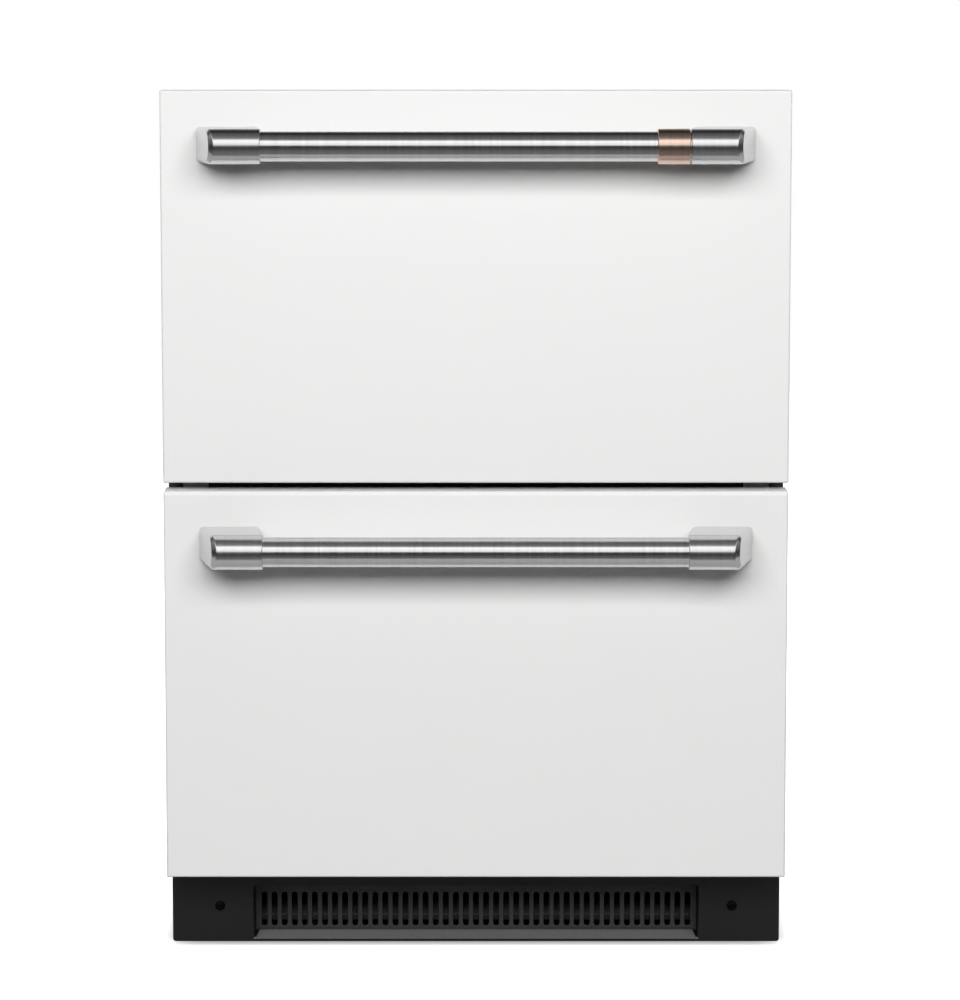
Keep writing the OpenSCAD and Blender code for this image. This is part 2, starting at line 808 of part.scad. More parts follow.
// Two leaves joined by a riser: the rear leaf on the case, the front leaf towards the worktop
module mounting_brackets() {
    low = case_top_z;
    high = case_top_z + tie_rise;
    riser = tie_riser_y;
    color(steel) both_sides() difference() {
        translate([tie_x, 0, 0]) along_x(-tie_w / 2, tie_w / 2) polygon([
            [riser - tie_leaf, high - tie_t], [riser - tie_t, high - tie_t], [riser - tie_t, low],
            [riser + tie_leaf, low], [riser + tie_leaf, low + tie_t], [riser, low + tie_t],
            [riser, high], [riser - tie_leaf, high]
        ]);
        for (y = [-tie_pitch / 2, tie_pitch / 2])
            translate([tie_x, riser - tie_leaf / 2 + y, high - tie_t - over])
                cylinder(h = tie_t + 2 * over, r = tie_hole_r);
        for (x = [-tie_pitch / 2, tie_pitch / 2]) translate([tie_x + x, tie_foot_y, low - over])
            cylinder(h = tie_t + 2 * over, r = screw_r + fit);
    }
}

// Foot, nut and stud of a levelling leg
module leg(x, y) {
    chamfer = 2;
    nut_r = 10;
    color(dark) translate([x, y, 0]) union() {
        rotate_extrude() polygon([
            [0, 0], [foot_r - chamfer / 2, 0], [foot_r, chamfer / 2], [foot_r, foot_t - chamfer],
            [foot_r - chamfer, foot_t], [0, foot_t]
        ]);
        cylinder(h = pan_z - seat, r = nut_r, $fn = 6);
        cylinder(h = pan_z + stud_l, r = stud_r);
    }
}

module front_left_leg() leg(-leg_x, case_y + leg_inset);
module front_right_leg() leg(leg_x, case_y + leg_inset);
module rear_left_leg() leg(-leg_x, back_y - leg_inset);
module rear_right_leg() leg(leg_x, back_y - leg_inset);

// ---------------------------------------------------------------- cooling

// Outline of the compressor's shell, right of its axis, with flats on top and below
module shell_outline(r, low, high) {
    flat = 4;
    intersection() {
        rectangle([0, low], [r, high]);
        translate([0, high - dome_r + flat]) circle(dome_r);
        translate([0, low + dome_r - flat]) circle(dome_r);
    }
}

// Hermetic shell on a base plate with four holes, a welded seam, a terminal cover and two tube stubs
module compressor() {
    top = shell_z + compressor_h;
    seam_h = 8;
    seam_z = shell_z + compressor_h * 0.55;
    seam_out = 3;
    corner = mount_x + mount_r + seam_out;
    corner_r = 12;
    cap_w = 54;                                    // terminal cover, on the shell's front
    cap_h = 50;
    cap_out = 20;
    color(dark) translate([compressor_x, compressor_y, 0]) {
        difference() {
            union() {
                rotate_extrude() difference() {
                    shell_outline(compressor_r, shell_z, top);
                    shell_outline(compressor_r - compressor_t, shell_z + compressor_t, top - compressor_t);
                }
                translate([0, 0, seam_z]) difference() {
                    cylinder(h = seam_h, r = compressor_r + seam_out);
                    translate([0, 0, -over])
                        cylinder(h = seam_h + 2 * over, r = compressor_r - compressor_t / 2);
                }
                difference() {
                    along_y(-compressor_r - cap_out, 0) translate([0, seam_z - cap_h])
                        rounded_rect([-cap_w / 2, 0], [cap_w / 2, cap_h], corner_r);
                    translate([0, 0, shell_z])
                        cylinder(h = compressor_h, r = compressor_r - compressor_t / 2);
                }
                along_z(plate_z, shell_z) rounded_rect([-corner, -corner], [corner, corner], corner_r);
            }
            for (x = [-mount_x, mount_x], y = [-mount_x, mount_x]) translate([x, y, plate_z - over])
                cylinder(h = plate_t + 2 * over, r = mount_neck_r + seat);
        }
        for (y = [-stub_y, stub_y]) translate([0, y, stub_z])
            rod_x(-compressor_r - stub_l, -compressor_r + 2 * compressor_t, tube_r + 1);
    }
}

// Four rubber bushes under and through the compressor's plate
module compressor_mounts() {
    cap_r = mount_neck_r + 2;
    cap_z = mount_h + plate_t;
    cap_t = 4;
    color(dark) for (x = [-mount_x, mount_x], y = [-mount_x, mount_x])
        translate([compressor_x + x, compressor_y + y, pan_top_z]) rotate_extrude() polygon([
            [0, 0], [mount_r, 0], [mount_r, mount_h], [mount_neck_r, mount_h], [mount_neck_r, cap_z],
            [cap_r, cap_z], [cap_r, cap_z + cap_t], [0, cap_z + cap_t]
        ]);
}

// Half turn of tube from [0, 0] to [0, pitch], bulging along +X
module return_bend(pitch, r) {
    translate([0, pitch / 2, 0]) rotate([0, 0, -90]) rotate_extrude(angle = 180)
        translate([pitch / 2, 0]) circle(r);
}

// Serpentine in the X-Y plane: count passes, from -x to x
module serpentine(count, pitch, x, r) {
    for (i = [0:count - 1]) translate([0, i * pitch, 0]) rod_x(-x, x, r);
    for (i = [0:count - 2]) translate([0, i * pitch, 0]) {
        if (i % 2 == 0) translate([-x, 0, 0]) mirror([1, 0, 0]) return_bend(pitch, r);
        else translate([x, 0, 0]) return_bend(pitch, r);
    }
}

// Wire-on-tube coil lying over the base pan on two rails
module condenser_coil() {
    wires = 9;
    wire_r = 0.9;
    wire_pitch = 2 * coil_x / wires;
    weld = 0.4;
    end_y = coil_y + (condenser_passes - 1) * coil_pitch;
    beyond = 8;                                    // how far the wires run past the passes
    rail_t = 2;
    rail_x = coil_x - 12;
    color(dark) union() {
        translate([0, coil_y, coil_z]) serpentine(condenser_passes, coil_pitch, coil_x, tube_r);
        for (i = [0:wires - 1])
            translate([-coil_x + (i + 0.5) * wire_pitch, 0, coil_z + tube_r - weld])
                rod_y(coil_y - beyond, end_y + beyond, wire_r);
        for (x = [-rail_x, rail_x])
            block([x, coil_y - tube_r, pan_top_z], [x + rail_t, end_y + tube_r, coil_z]);
    }
}

// Square plate with a duct round the fan and four arms to the motor's ring
module condenser_fan_shroud() {
    half = condenser_fan_r + shroud_in;
    hole_r = condenser_fan_r + 3;
    wall = 2;
    ring = motor_r + fit;
    ring_t = 3;
    arm_w = 6;
    arm_y = shroud_y + shroud_d;
    end_y = arm_y + arm_w;
    color(dark) translate([fan_x, 0, condenser_fan_z]) union() {
        along_y(shroud_y, shroud_y + wall) difference() {
            rounded_rect([-half, -half], [half, half], shroud_in);
            circle(hole_r);
        }
        difference() {
            rod_y(shroud_y, end_y, hole_r + wall);
            rod_y(shroud_y - over, end_y + over, hole_r);
        }
        difference() {
            union() {
                rod_y(arm_y, end_y, ring + ring_t);
                for (a = [45:90:315]) rotate([0, a, 0])
                    block([ring + ring_t / 2, arm_y, -arm_w / 2], [hole_r + wall / 2, end_y, arm_w / 2]);
            }
            rod_y(arm_y - over, end_y + over, ring);
        }
    }
}

// Motor can with its shaft, from y0 back to y1; the shaft reaches forward to shaft_y
module fan_motor(shaft_y, y0, y1) {
    rod_y(y0, y1, motor_r);
    rod_y(shaft_y, y0, shaft_r);
}

module condenser_fan_motor() {
    y0 = shroud_y + shroud_d;
    color(grey) translate([fan_x, 0, condenser_fan_z]) fan_motor(shroud_y + 5, y0, y0 + motor_l);
}

// Hub and pitched blades about the Y axis, from y0 to y1
module fan_rotor(y0, y1, hub_r, tip_r, blades) {
    chord = (y1 - y0) * 2;
    blade_t = 1.6;
    middle = (y0 + y1) / 2;
    difference() {
        union() {
            rod_y(y0, y1, hub_r);
            intersection() {
                for (i = [0:blades - 1]) rotate([0, i * 360 / blades, 0]) translate([0, middle, 0])
                    rotate([90 - blade_pitch, 0, 0])
                        block([hub_r - 2, -chord / 2, -blade_t / 2], [tip_r + 5, chord / 2, blade_t / 2]);
                difference() {
                    rod_y(y0 + 1, y1 - 1, tip_r);
                    rod_y(y0, y1, hub_r - 2);
                }
            }
        }
        rod_y(y0 + 2, y1 + over, shaft_r + run);
    }
}

module condenser_fan() {
    color(pale) translate([fan_x, 0, condenser_fan_z])
        fan_rotor(shroud_y + 3, shroud_y + shroud_d - 2, condenser_hub_r, condenser_fan_r, 5);
}

// Tube between two points with a ball joint at the far end
module tube_run(points, r) {
    for (i = [0:len(points) - 2]) {
        d = points[i + 1] - points[i];
        l = norm(d);
        translate(points[i]) rotate([0, acos(d[2] / l), atan2(d[1], d[0])]) cylinder(h = l, r = r);
        if (i > 0) translate(points[i]) sphere(r + 0.2);
    }
}

// Discharge, liquid and suction lines, with the filter drier brazed into the liquid line
module refrigerant_lines() {
    left = compressor_x - compressor_r - stub_l - seat;
    gap_x = (left + fan_x + condenser_fan_r + 12) / 2;
    coil_end_y = coil_y + (condenser_passes - 1) * coil_pitch;
    in_x = coil_x + seat;
    liquid_x = coil_x + coil_pitch;                // liquid line beside the coil
    drier_x = liquid_x + 24;
    drier_y = machine_y + 14;
    drier_z = coil_z + 70;
    drier_r = 10;
    drier_l = 90;
    loop_x = coil_x + 20;
    loop_y = coil_end_y + 20;
    top = machine_top_z - seat;
    color(copper) union() {
        tube_run([[left, compressor_y - stub_y, stub_z], [gap_x, compressor_y - stub_y, stub_z],
                  [gap_x, compressor_y - stub_y, coil_z], [gap_x, loop_y, coil_z],
                  [loop_x, loop_y, coil_z], [loop_x, coil_end_y, coil_z],
                  [in_x, coil_end_y, coil_z]], tube_r);
    }
    color(copper) union() {
        tube_run([[in_x, coil_y, coil_z], [liquid_x, coil_y, coil_z], [liquid_x, drier_y, coil_z],
                  [drier_x, drier_y, coil_z + 20], [drier_x, drier_y, top]], tube_r);
        translate([drier_x, drier_y, drier_z]) rotate_extrude() polygon([
            [0, 0], [tube_r + 1, 0], [drier_r, drier_r], [drier_r, drier_l - drier_r],
            [tube_r + 1, drier_l], [0, drier_l]
        ]);
    }
    color(copper) union() {
        tube_run([[left, compressor_y + stub_y, stub_z], [gap_x, compressor_y + stub_y, stub_z],
                  [gap_x, compressor_y + stub_y, top]], tube_r);
    }
}

// Tray on the compressor's top that dries the melt water, and the drain tube from the liner's step
module drain_pan() {
    half = [compressor_r - 2, compressor_r - 12];
    r = 14;
    wall = [drain_pan_t, drain_pan_t];
    top = drain_pan_z + drain_pan_h;
    color(dark) translate([compressor_x, compressor_y, 0]) difference() {
        along_z(drain_pan_z, top) rounded_rect(-half, half, r);
        along_z(drain_pan_z + drain_pan_t, top + over)
            rounded_rect(wall - half, half - wall, r - drain_pan_t);
    }
    color(pale) translate([compressor_x, drain_y, 0]) difference() {
        along_z(top - drain_pan_h / 2, step_z) circle(drain_r);
        along_z(drain_pan_z, step_z + over) circle(drain_r - drain_pan_t);
    }
}

// Cover of the main board, on the left side of the case
module electronics_box() {
    low = [-case_in, machine_y + (machine_d - board_l) / 2, pan_z + pan_edge_h + board_rise];
    high = low + [board_d, board_l, board_h];
    lid_t = 4;
    rib_t = 3;
    rib_out = 2;
    ribs = 5;
    color(grey) union() {
        block(low, high - [lid_t, 0, 0]);
        along_x(high[0] - lid_t, high[0])
            rounded_rect([low[1] + lid_t, low[2] + lid_t], [high[1] - lid_t, high[2] - lid_t], lid_t);
        for (i = [1:ribs]) translate([0, 0, low[2] + i * board_h / (ribs + 1)])
            block([high[0] - over, low[1] + 4 * lid_t, 0], [high[0] + rib_out, high[1] - 4 * lid_t, rib_t]);
    }
}

// Finned serpentine behind the evaporator cover, on two end plates
module evaporator_coil() {
    fin_t = 0.5;
    plate_w = 1.2;
    plate_x = evaporator_x - 4;
    fin_x = evaporator_x - 14;                     // the outermost fins
    fin_pitch = 2 * fin_x / (fin_count - 1);
    y0 = evaporator_y + evaporator_cover_t + 4;
    y1 = liner_back_y - 3;
    low = evaporator_z - fin_over;
    high = evaporator_z + evaporator_l + fin_over;
    color(steel) union() {
        translate([0, (y0 + y1) / 2, evaporator_z]) rotate([90, 0, 0])
            serpentine(evaporator_passes, evaporator_pitch, evaporator_x, tube_r);
        for (i = [0:fin_count - 1]) translate([i * fin_pitch - fin_x, 0, 0])
            along_x(-fin_t / 2, fin_t / 2) rectangle([y0, low], [y1, high]);
        for (x = [-plate_x, plate_x]) along_x(x - plate_w / 2, x + plate_w / 2)
            rectangle([y0, low - 2], [liner_back_y, high + 2]);
    }
}

// Moulded cover with an outlet grille before the fan and return slots at its foot
module evaporator_cover() {
    edge = 8;
    half = liner_x - 44;
    low = step_z + edge;
    high = liner_top_z - edge;
    lip = 2;
    wall = evaporator_cover_t;
    slot_h = 5;
    outlet_r = evaporator_fan_r + 4;
    outlet_pitch = 9;
    return_l = 96;
    return_gap = 24;
    return_pitch = 12;
    color(pale) difference() {
        union() {
            along_y(evaporator_y, evaporator_y + wall) rounded_rect([-half, low], [half, high], edge);
            along_y(evaporator_y + wall / 2, liner_back_y - seat)
                frame_outline([-half + lip, low + lip], [half - lip, high - lip], wall);
        }
        along_y(evaporator_y - over, evaporator_y + wall + over) {
            for (h = [-4 * outlet_pitch:outlet_pitch:4 * outlet_pitch]) translate([0, evaporator_fan_z + h])
                flat_slot(2 * sqrt(pow(outlet_r, 2) - pow(h, 2)), slot_h);
            for (i = [-1:1], j = [0:2])
                translate([i * (return_l + return_gap), low + return_gap + j * return_pitch])
                    flat_slot(return_l, slot_h);
        }
    }
}

module evaporator_fan_motor() {
    color(grey) translate([0, 0, evaporator_fan_z])
        fan_motor(evaporator_y + evaporator_cover_t + 7, liner_back_y - 14, liner_back_y);
}

module evaporator_fan() {
    y0 = evaporator_y + evaporator_cover_t + 4;
    color(dark) translate([0, 0, evaporator_fan_z])
        fan_rotor(y0, liner_back_y - 16, evaporator_hub_r, evaporator_fan_r, 7);
}

// ---------------------------------------------------------------- controls

// Console under the liner's ceiling, with a pocket for the window and one for each button
module control_housing() {
    half = control_w / 2;
    nose = 8;
    color(grey) difference() {
        along_x(-half, half) polygon([
            [control_y, control_z + 3], [control_y + nose, control_z], [control_y + control_d, control_z],
            [control_y + control_d, liner_top_z], [control_y, liner_top_z]
        ]);
        for (x = buttons_x) translate([x, 0, button_z])
            rod_y(control_y - over, control_y + pocket_l, button_r + seat);
        translate([window_x, 0, 0]) along_y(control_y - over, control_y + window_t)
            rounded_rect([0, button_z - display_h / 2], [display_w, button_z + display_h / 2], window_r);
    }
}

module control_display() {
    color(dark) translate([window_x, 0, button_z - display_h / 2]) along_y(control_y, control_y + window_t)
        rounded_rect([fit, fit], [display_w - fit, display_h - fit], window_r - fit);
}

module push_button(x) {
    y1 = control_y + pocket_l - button_travel - seat;
    cap = 0.6;
    color(pale) translate([x, y1, button_z]) rotate([90, 0, 0]) rotate_extrude() polygon([
        [0, 0], [button_r, 0], [button_r, y1 - control_y + button_out - cap],
        [button_r - cap, y1 - control_y + button_out], [0, y1 - control_y + button_out]
    ]);
}

module power_button() push_button(buttons_x[0]);
module colder_button() push_button(buttons_x[1]);
module warmer_button() push_button(buttons_x[2]);

module light_lens() {
    lens_t = 5;
    color(pale) translate([0, case_y + light_y])
        along_z(liner_top_z - lens_t, liner_top_z) flat_slot(light_l, light_w);
}

module temperature_sensor() {
    clip_t = 3;
    clip_r = 9;
    probe_l = 15;
    color(pale) translate([sensor_x, case_y + sensor_y, 0]) {
        translate([0, 0, liner_top_z - clip_t]) cylinder(h = clip_t, r = clip_r);
        translate([0, 0, liner_top_z - probe_l]) cylinder(h = probe_l - over, r = clip_r / 2);
    }
}

// ---------------------------------------------------------------- slides

// A slide member's outline: x is its depth from the liner, y its height
module channel(depth0, depth1, height, web_first, lip) {
    t = slide_steel;
    difference() {
        rectangle([depth0, -height / 2], [depth1, height / 2]);
        rectangle([web_first ? depth0 + t : depth0 - over, -height / 2 + t],
                  [web_first ? depth1 + over : depth1 - t, height / 2 - t]);
    }
    if (lip > 0) for (s = [-1, 1]) rectangle(
        [depth1 - t, min(s * height / 2, s * (height / 2 - t - lip))],
        [depth1, max(s * height / 2, s * (height / 2 - t - lip))]);
}

// Places an outline at both side walls of the liner
module at_slides(z) {
    both_sides() translate([liner_x, 0, z]) mirror([1, 0, 0])
        along_y(slide_y, slide_y + slide_l) children();
}

module outer_slides(z) {
    color(steel) at_slides(z) channel(0, slide_t - 3, slide_h, true, slide_lip);
}

// Middle members with the balls that run in them: the outer race at the rear, the inner at the front
module middle_slides(z) {
    half = slide_l / 2;
    end = 20;                                      // first ball from the race's end
    pitch = (half - 2 * end) / (ball_count - 1);
    color(grey) {
        at_slides(z) channel(member_step, slide_t - 1.8, middle_h, true, slide_lip);
        both_sides() for (i = [0:ball_count - 1], s = [-1, 1]) {
            translate([liner_x - 2 * member_step - ball_r / 2, slide_y + half + end + i * pitch,
                       z + s * (middle_h + race) / 2]) sphere(ball_r);
            translate([liner_x - 3 * member_step - ball_r / 2, slide_y + end + i * pitch,
                       z + s * (inner_h + race) / 2]) sphere(ball_r);
        }
    }
}

module inner_slides(z) {
    color(steel) at_slides(z) channel(2.5 * member_step, slide_t, inner_h, false, 0);
}

module upper_outer_slides() outer_slides(upper_slide_z);
module upper_middle_slides() middle_slides(upper_slide_z);
module upper_inner_slides() inner_slides(upper_slide_z);
module lower_outer_slides() outer_slides(lower_slide_z);
module lower_middle_slides() middle_slides(lower_slide_z);
module lower_inner_slides() inner_slides(lower_slide_z);

// ---------------------------------------------------------------- drawer fronts

// Outline of a corner-rounded edge: full at the back, rounded at the front
module edge_outline(depth, low, high, r) {
    rectangle([r, low], [depth, high]);
    rectangle([0, low + r], [r + lap, high - r]);
    for (y = [low + r, high - r]) translate([r, y]) circle(r);
}

// Slab with rounded front edges, its sides and its front drawn in by g
module front_slab(z, h, depth, g) {
    r = front_edge_r - g;
    half = front_w / 2 - g;
    translate([0, front_y + g, 0]) intersection() {
        along_x(-half, half) edge_outline(depth, z + g, z + h - g, r);
        along_z(z, z + h) edge_from_above(depth, half, r);
        along_y(-over, depth + over)
            rounded_rect([-half, z + g], [half, z + h - g], front_corner_r - min(g, 1));
    }
}

module edge_from_above(depth, half, r) {
    rectangle([-half, r], [half, depth]);
    rectangle([-half + r, 0], [half - r, r + lap]);
    for (x = [-half + r, half - r]) translate([x, r]) circle(r);
}

// Folded skin with a return round its open back
module front_skin(z, h) {
    half = front_w / 2 - skin_return;
    color(white) difference() {
        front_slab(z, h, skin_d, 0);
        front_slab(z, h, skin_d - 2 * skin_t, skin_t);
        along_y(panel_y - skin_t - over, panel_y + over)
            rectangle([-half, z + skin_return], [half, z + h - skin_return]);
    }
}

// Foam that fills the skin and the inner panel
module front_foam(z, h) {
    g = skin_t + fit;
    in = panel_inset + panel_t + fit;
    half = front_w / 2;
    neck = skin_return + fit;
    color(foam) union() {
        front_slab(z, h, skin_d - 2 * g, g);
        block([-half + neck, panel_y - 2 * skin_t, z + neck], [half - neck, panel_y + over, z + h - neck]);
        block([-half + in, panel_y + fit, z + in], [half - in, gasket_y - panel_t - fit, z + h - in]);
    }
}

// Moulded tray that closes the back of the front
module front_panel(z, h) {
    half = front_w / 2 - panel_inset;
    low = z + panel_inset;
    high = z + h - panel_inset;
    color(dark) difference() {
        along_y(panel_y, gasket_y) rounded_rect([-half, low], [half, high], front_corner_r);
        block([-half + panel_t, panel_y - over, low + panel_t],
              [half - panel_t, gasket_y - panel_t, high - panel_t]);
    }
}

// Base, bellows and magnet tube, mitred at the corners
module door_gasket(low_z, high_z) {
    x = liner_x + gasket_rim + gasket_w;
    base_d = 3;
    neck_in = gasket_w * 0.3;
    tube_y = case_y - seat - gasket_d * 0.45;
    color(dark) union() {
        along_y(gasket_y, gasket_y + base_d)
            frame_outline([-x + 1, low_z + 1], [x - 1, high_z - 1], gasket_w - 2);
        along_y(gasket_y, case_y - 2)
            frame_outline([-x + neck_in, low_z + neck_in], [x - neck_in, high_z - neck_in],
                          gasket_w - 2 * neck_in);
        along_y(tube_y, case_y - seat) frame_outline([-x, low_z], [x, high_z], gasket_w);
    }
}

module upper_front_skin() front_skin(upper_front_z, upper_front_h);
module upper_front_foam() front_foam(upper_front_z, upper_front_h);
module upper_front_panel() front_panel(upper_front_z, upper_front_h);
module upper_gasket()
    door_gasket(upper_front_z + panel_inset + gasket_edge, liner_top_z + gasket_rim + gasket_w - 2);
module lower_front_skin() front_skin(lower_front_z, lower_front_h);
module lower_front_foam() front_foam(lower_front_z, lower_front_h);
module lower_front_panel() front_panel(lower_front_z, lower_front_h);
module lower_gasket()
    door_gasket(liner_floor_z - gasket_rim - gasket_w,
                lower_front_z + lower_front_h - panel_inset - gasket_edge);

// ---------------------------------------------------------------- bins

// Bin's plan, drawn in by g
module bin_plan(g) {
    rounded_rect([-bin_x + g, gasket_y + g], [bin_x - g, bin_back_y - g], bin_r - g);
}

// Rim that stands out at the sides and the back of a bin's top
module bin_rim(top) {
    color(pale) along_z(top - rim_t, top) difference() {
        intersection() {
            rounded_rect([-bin_x - rim_w, gasket_y], [bin_x + rim_w, bin_back_y + rim_t], bin_r);
            rectangle([-bin_x - rim_w, case_y + rim_w], [bin_x + rim_w, back_y]);
        }
        bin_plan(bin_t);
    }
}

module upper_bin() {
    top = upper_bin_top_z;
    color(pale) union() {
        difference() {
            along_z(upper_bin_z, top) bin_plan(0);
            along_z(upper_bin_z + bin_t, top + over) bin_plan(bin_t);
        }
        bin_rim(top);
    }
}

// Outline of the lower bin from the side, stepped over the machine space and drawn in by g
module bin_side(g, top) {
    polygon([
        [gasket_y, lower_bin_z + g], [bin_step_y - g, lower_bin_z + g], [bin_step_y - g, bin_step_z + g],
        [bin_back_y, bin_step_z + g], [bin_back_y, top], [gasket_y, top]
    ]);
}

module lower_bin() {
    top = lower_bin_top_z;
    color(pale) union() {
        difference() {
            intersection() {
                along_x(-bin_x - over, bin_x + over) bin_side(0, top);
                along_z(lower_bin_z, top) bin_plan(0);
            }
            intersection() {
                along_x(-bin_x, bin_x) bin_side(bin_t, top + over);
                along_z(lower_bin_z, top + over) bin_plan(bin_t);
            }
        }
        bin_rim(top);
    }
}

// Plate across the upper bin, hung on its rims
module upper_divider() {
    top = upper_bin_top_z;
    half = bin_x - bin_t - seat;
    ear = bin_x + rim_w;
    y0 = gasket_y + bin_t + divider_y;
    low = upper_bin_z + bin_t + divider_rise;
    color(pale) along_y(y0, y0 + divider_t) {
        rounded_rect([-half, low], [half, top], divider_r);
        rectangle([-half, low + divider_r], [half, top + seat]);
        rectangle([-ear, top + seat], [ear, top + seat + rim_t]);
    }
}

// ---------------------------------------------------------------- handles

// Tube along X through the axis at height z
module handle_rod(z) {
    end = collar_x + socket_l - seat;
    color(steel) translate([0, front_y - handle_reach, z]) difference() {
        rod_x(-end, end, rod_r);
        rod_x(-end - over, end + over, rod_r - rod_t);
    }
}

// Outer end's chamfer: a cone round the barrel's nose, or a wedge behind the axis
module chamfer_space(nose) {
    r = barrel_r - bracket_chamfer;
    l = foot_w + 2 * bracket_l;
    if (nose) rotate([0, -90, 0]) cylinder(h = l, r1 = r, r2 = r + l);
    else along_y(0, l) polygon([[0, -r], [0, r], [-l, r + l], [-l, -r - l]]);
}

// Right-hand bracket about the handle's axis: a bullet outline whose outer side leans and whose inner
// side sweeps from the foot into the barrel
module bracket_form() {
    lean_at_axis = outer_lean * handle_reach / bracket_l;
    out_x = foot_out_x - lean_at_axis;
    c = collar_chamfer;
    difference() {
        union() {
            for (nose = [true, false]) intersection() {
                along_x(collar_x, foot_out_x) {
                    rectangle([0, -barrel_r], [handle_reach, barrel_r]);
                    circle(barrel_r);
                }
                along_z(-barrel_r - over, barrel_r + over) polygon(concat(
                    [[foot_out_x, handle_reach], [foot_out_x - outer_lean, -barrel_r], [arm_in_x, -barrel_r]],
                    [for (a = [0:15:90]) [foot_in_x - inner_lean * cos(a), handle_reach * sin(a)]]
                ));
                translate([out_x, 0, 0]) rotate([0, 0, -lean_angle]) chamfer_space(nose);
            }
            rod_x(collar_x + c, arm_in_x + over, barrel_r);
            translate([collar_x, 0, 0]) rotate([0, 90, 0]) cylinder(h = c, r1 = barrel_r - c, r2 = barrel_r);
        }
        rod_x(collar_x - over, collar_x + socket_l, rod_r + fit);
    }
}

module bracket(z, side) {
    color(steel) translate([0, front_y - handle_reach, z])
        mirror([side < 0 ? 1 : 0, 0, 0]) bracket_form();
}

module upper_handle_rod() handle_rod(upper_handle_z);
module upper_left_bracket() bracket(upper_handle_z, -1);
module upper_right_bracket() bracket(upper_handle_z, 1);
module lower_handle_rod() handle_rod(lower_handle_z);
module lower_left_bracket() bracket(lower_handle_z, -1);
module lower_right_bracket() bracket(lower_handle_z, 1);

// Sleeve on the upper rod, beside the right bracket
module handle_ring() {
    c = ring_chamfer;
    color(copper) translate([collar_x - ring_gap, front_y - handle_reach, upper_handle_z]) rotate([0, -90, 0])
        rotate_extrude() polygon([
            [rod_r + fit, 0], [barrel_r - c, 0], [barrel_r, c], [barrel_r, ring_w - c],
            [barrel_r - c, ring_w], [rod_r + fit, ring_w]
        ]);
}

// ---------------------------------------------------------------- nodes

outer_case();
back_panel();
base_pan();
foam_insulation();
inner_liner();
center_mullion();
toe_kick();
vent_grille();
panel_screws();
machine_cover();
mounting_brackets();
cord_gland();
compressor();
compressor_mounts();
condenser_coil();
condenser_fan_shroud();
condenser_fan_motor();
condenser_fan();
refrigerant_lines();
drain_pan();
electronics_box();
evaporator_coil();
evaporator_cover();
evaporator_fan_motor();
evaporator_fan();
control_housing();
control_display();
power_button();
colder_button();
warmer_button();
light_lens();
temperature_sensor();
front_left_leg();
front_right_leg();
rear_left_leg();
rear_right_leg();
upper_outer_slides();
upper_middle_slides();
upper_inner_slides();
lower_outer_slides();
lower_middle_slides();
lower_inner_slides();
upper_front_skin();
upper_front_foam();
upper_front_panel();
upper_gasket();
upper_bin();
upper_divider();
upper_handle_rod();
upper_left_bracket();
upper_right_bracket();
handle_ring();
lower_front_skin();
lower_front_foam();
lower_front_panel();
lower_gasket();
lower_bin();
lower_handle_rod();
lower_left_bracket();
lower_right_bracket();
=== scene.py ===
import json
import math
import bpy
import bmesh
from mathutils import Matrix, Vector


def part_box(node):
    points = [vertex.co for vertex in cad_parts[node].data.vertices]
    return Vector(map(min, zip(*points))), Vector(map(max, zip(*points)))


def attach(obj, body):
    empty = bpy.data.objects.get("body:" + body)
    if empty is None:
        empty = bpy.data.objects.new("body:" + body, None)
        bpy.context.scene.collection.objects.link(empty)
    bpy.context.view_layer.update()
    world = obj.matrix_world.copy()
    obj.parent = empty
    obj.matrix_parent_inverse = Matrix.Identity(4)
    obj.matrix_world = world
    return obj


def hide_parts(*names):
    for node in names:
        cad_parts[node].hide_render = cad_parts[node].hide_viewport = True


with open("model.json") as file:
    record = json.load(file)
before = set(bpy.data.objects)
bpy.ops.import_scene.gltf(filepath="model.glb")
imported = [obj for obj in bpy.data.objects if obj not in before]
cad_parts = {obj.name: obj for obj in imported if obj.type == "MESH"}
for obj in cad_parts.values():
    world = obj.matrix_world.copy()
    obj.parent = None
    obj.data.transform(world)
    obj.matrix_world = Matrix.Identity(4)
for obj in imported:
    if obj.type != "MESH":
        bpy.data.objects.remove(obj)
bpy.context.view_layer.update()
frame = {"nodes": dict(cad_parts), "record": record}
nodes = frame["nodes"]
slotOfNode = {part["node"]: part["material_slot"] for part in frame["record"]["subparts"]}
print("frame loaded:", len(nodes), "nodes")


# small helpers for node trees

def addNode(tree, kind, **settings):
    node = tree.nodes.new(kind)
    for name, value in settings.items():
        setattr(node, name, value)
    return node


def feed(tree, socket, value):
    # a value may be a plain number or colour, or another node's output
    if isinstance(value, bpy.types.NodeSocket):
        tree.links.new(value, socket)
    else:
        socket.default_value = value


def mathNode(tree, operation, *values):
    node = addNode(tree, "ShaderNodeMath", operation=operation)
    for i, value in enumerate(values):
        feed(tree, node.inputs[i], value)
    return node.outputs[0]


def remap(tree, value, low, high, newLow=0.0, newHigh=1.0):
    node = addNode(tree, "ShaderNodeMapRange")
    for name, given in (("Value", value), ("From Min", low), ("From Max", high),
                        ("To Min", newLow), ("To Max", newHigh)):
        feed(tree, node.inputs[name], given)
    return node.outputs["Result"]


def times(tree, first, second):
    return mathNode(tree, "MULTIPLY", first, second)


def mixColours(tree, factor, first, second):
    node = addNode(tree, "ShaderNodeMix", data_type="RGBA")
    feed(tree, node.inputs["Factor"], factor)
    feed(tree, node.inputs["A"], first)
    feed(tree, node.inputs["B"], second)
    return node.outputs["Result"]


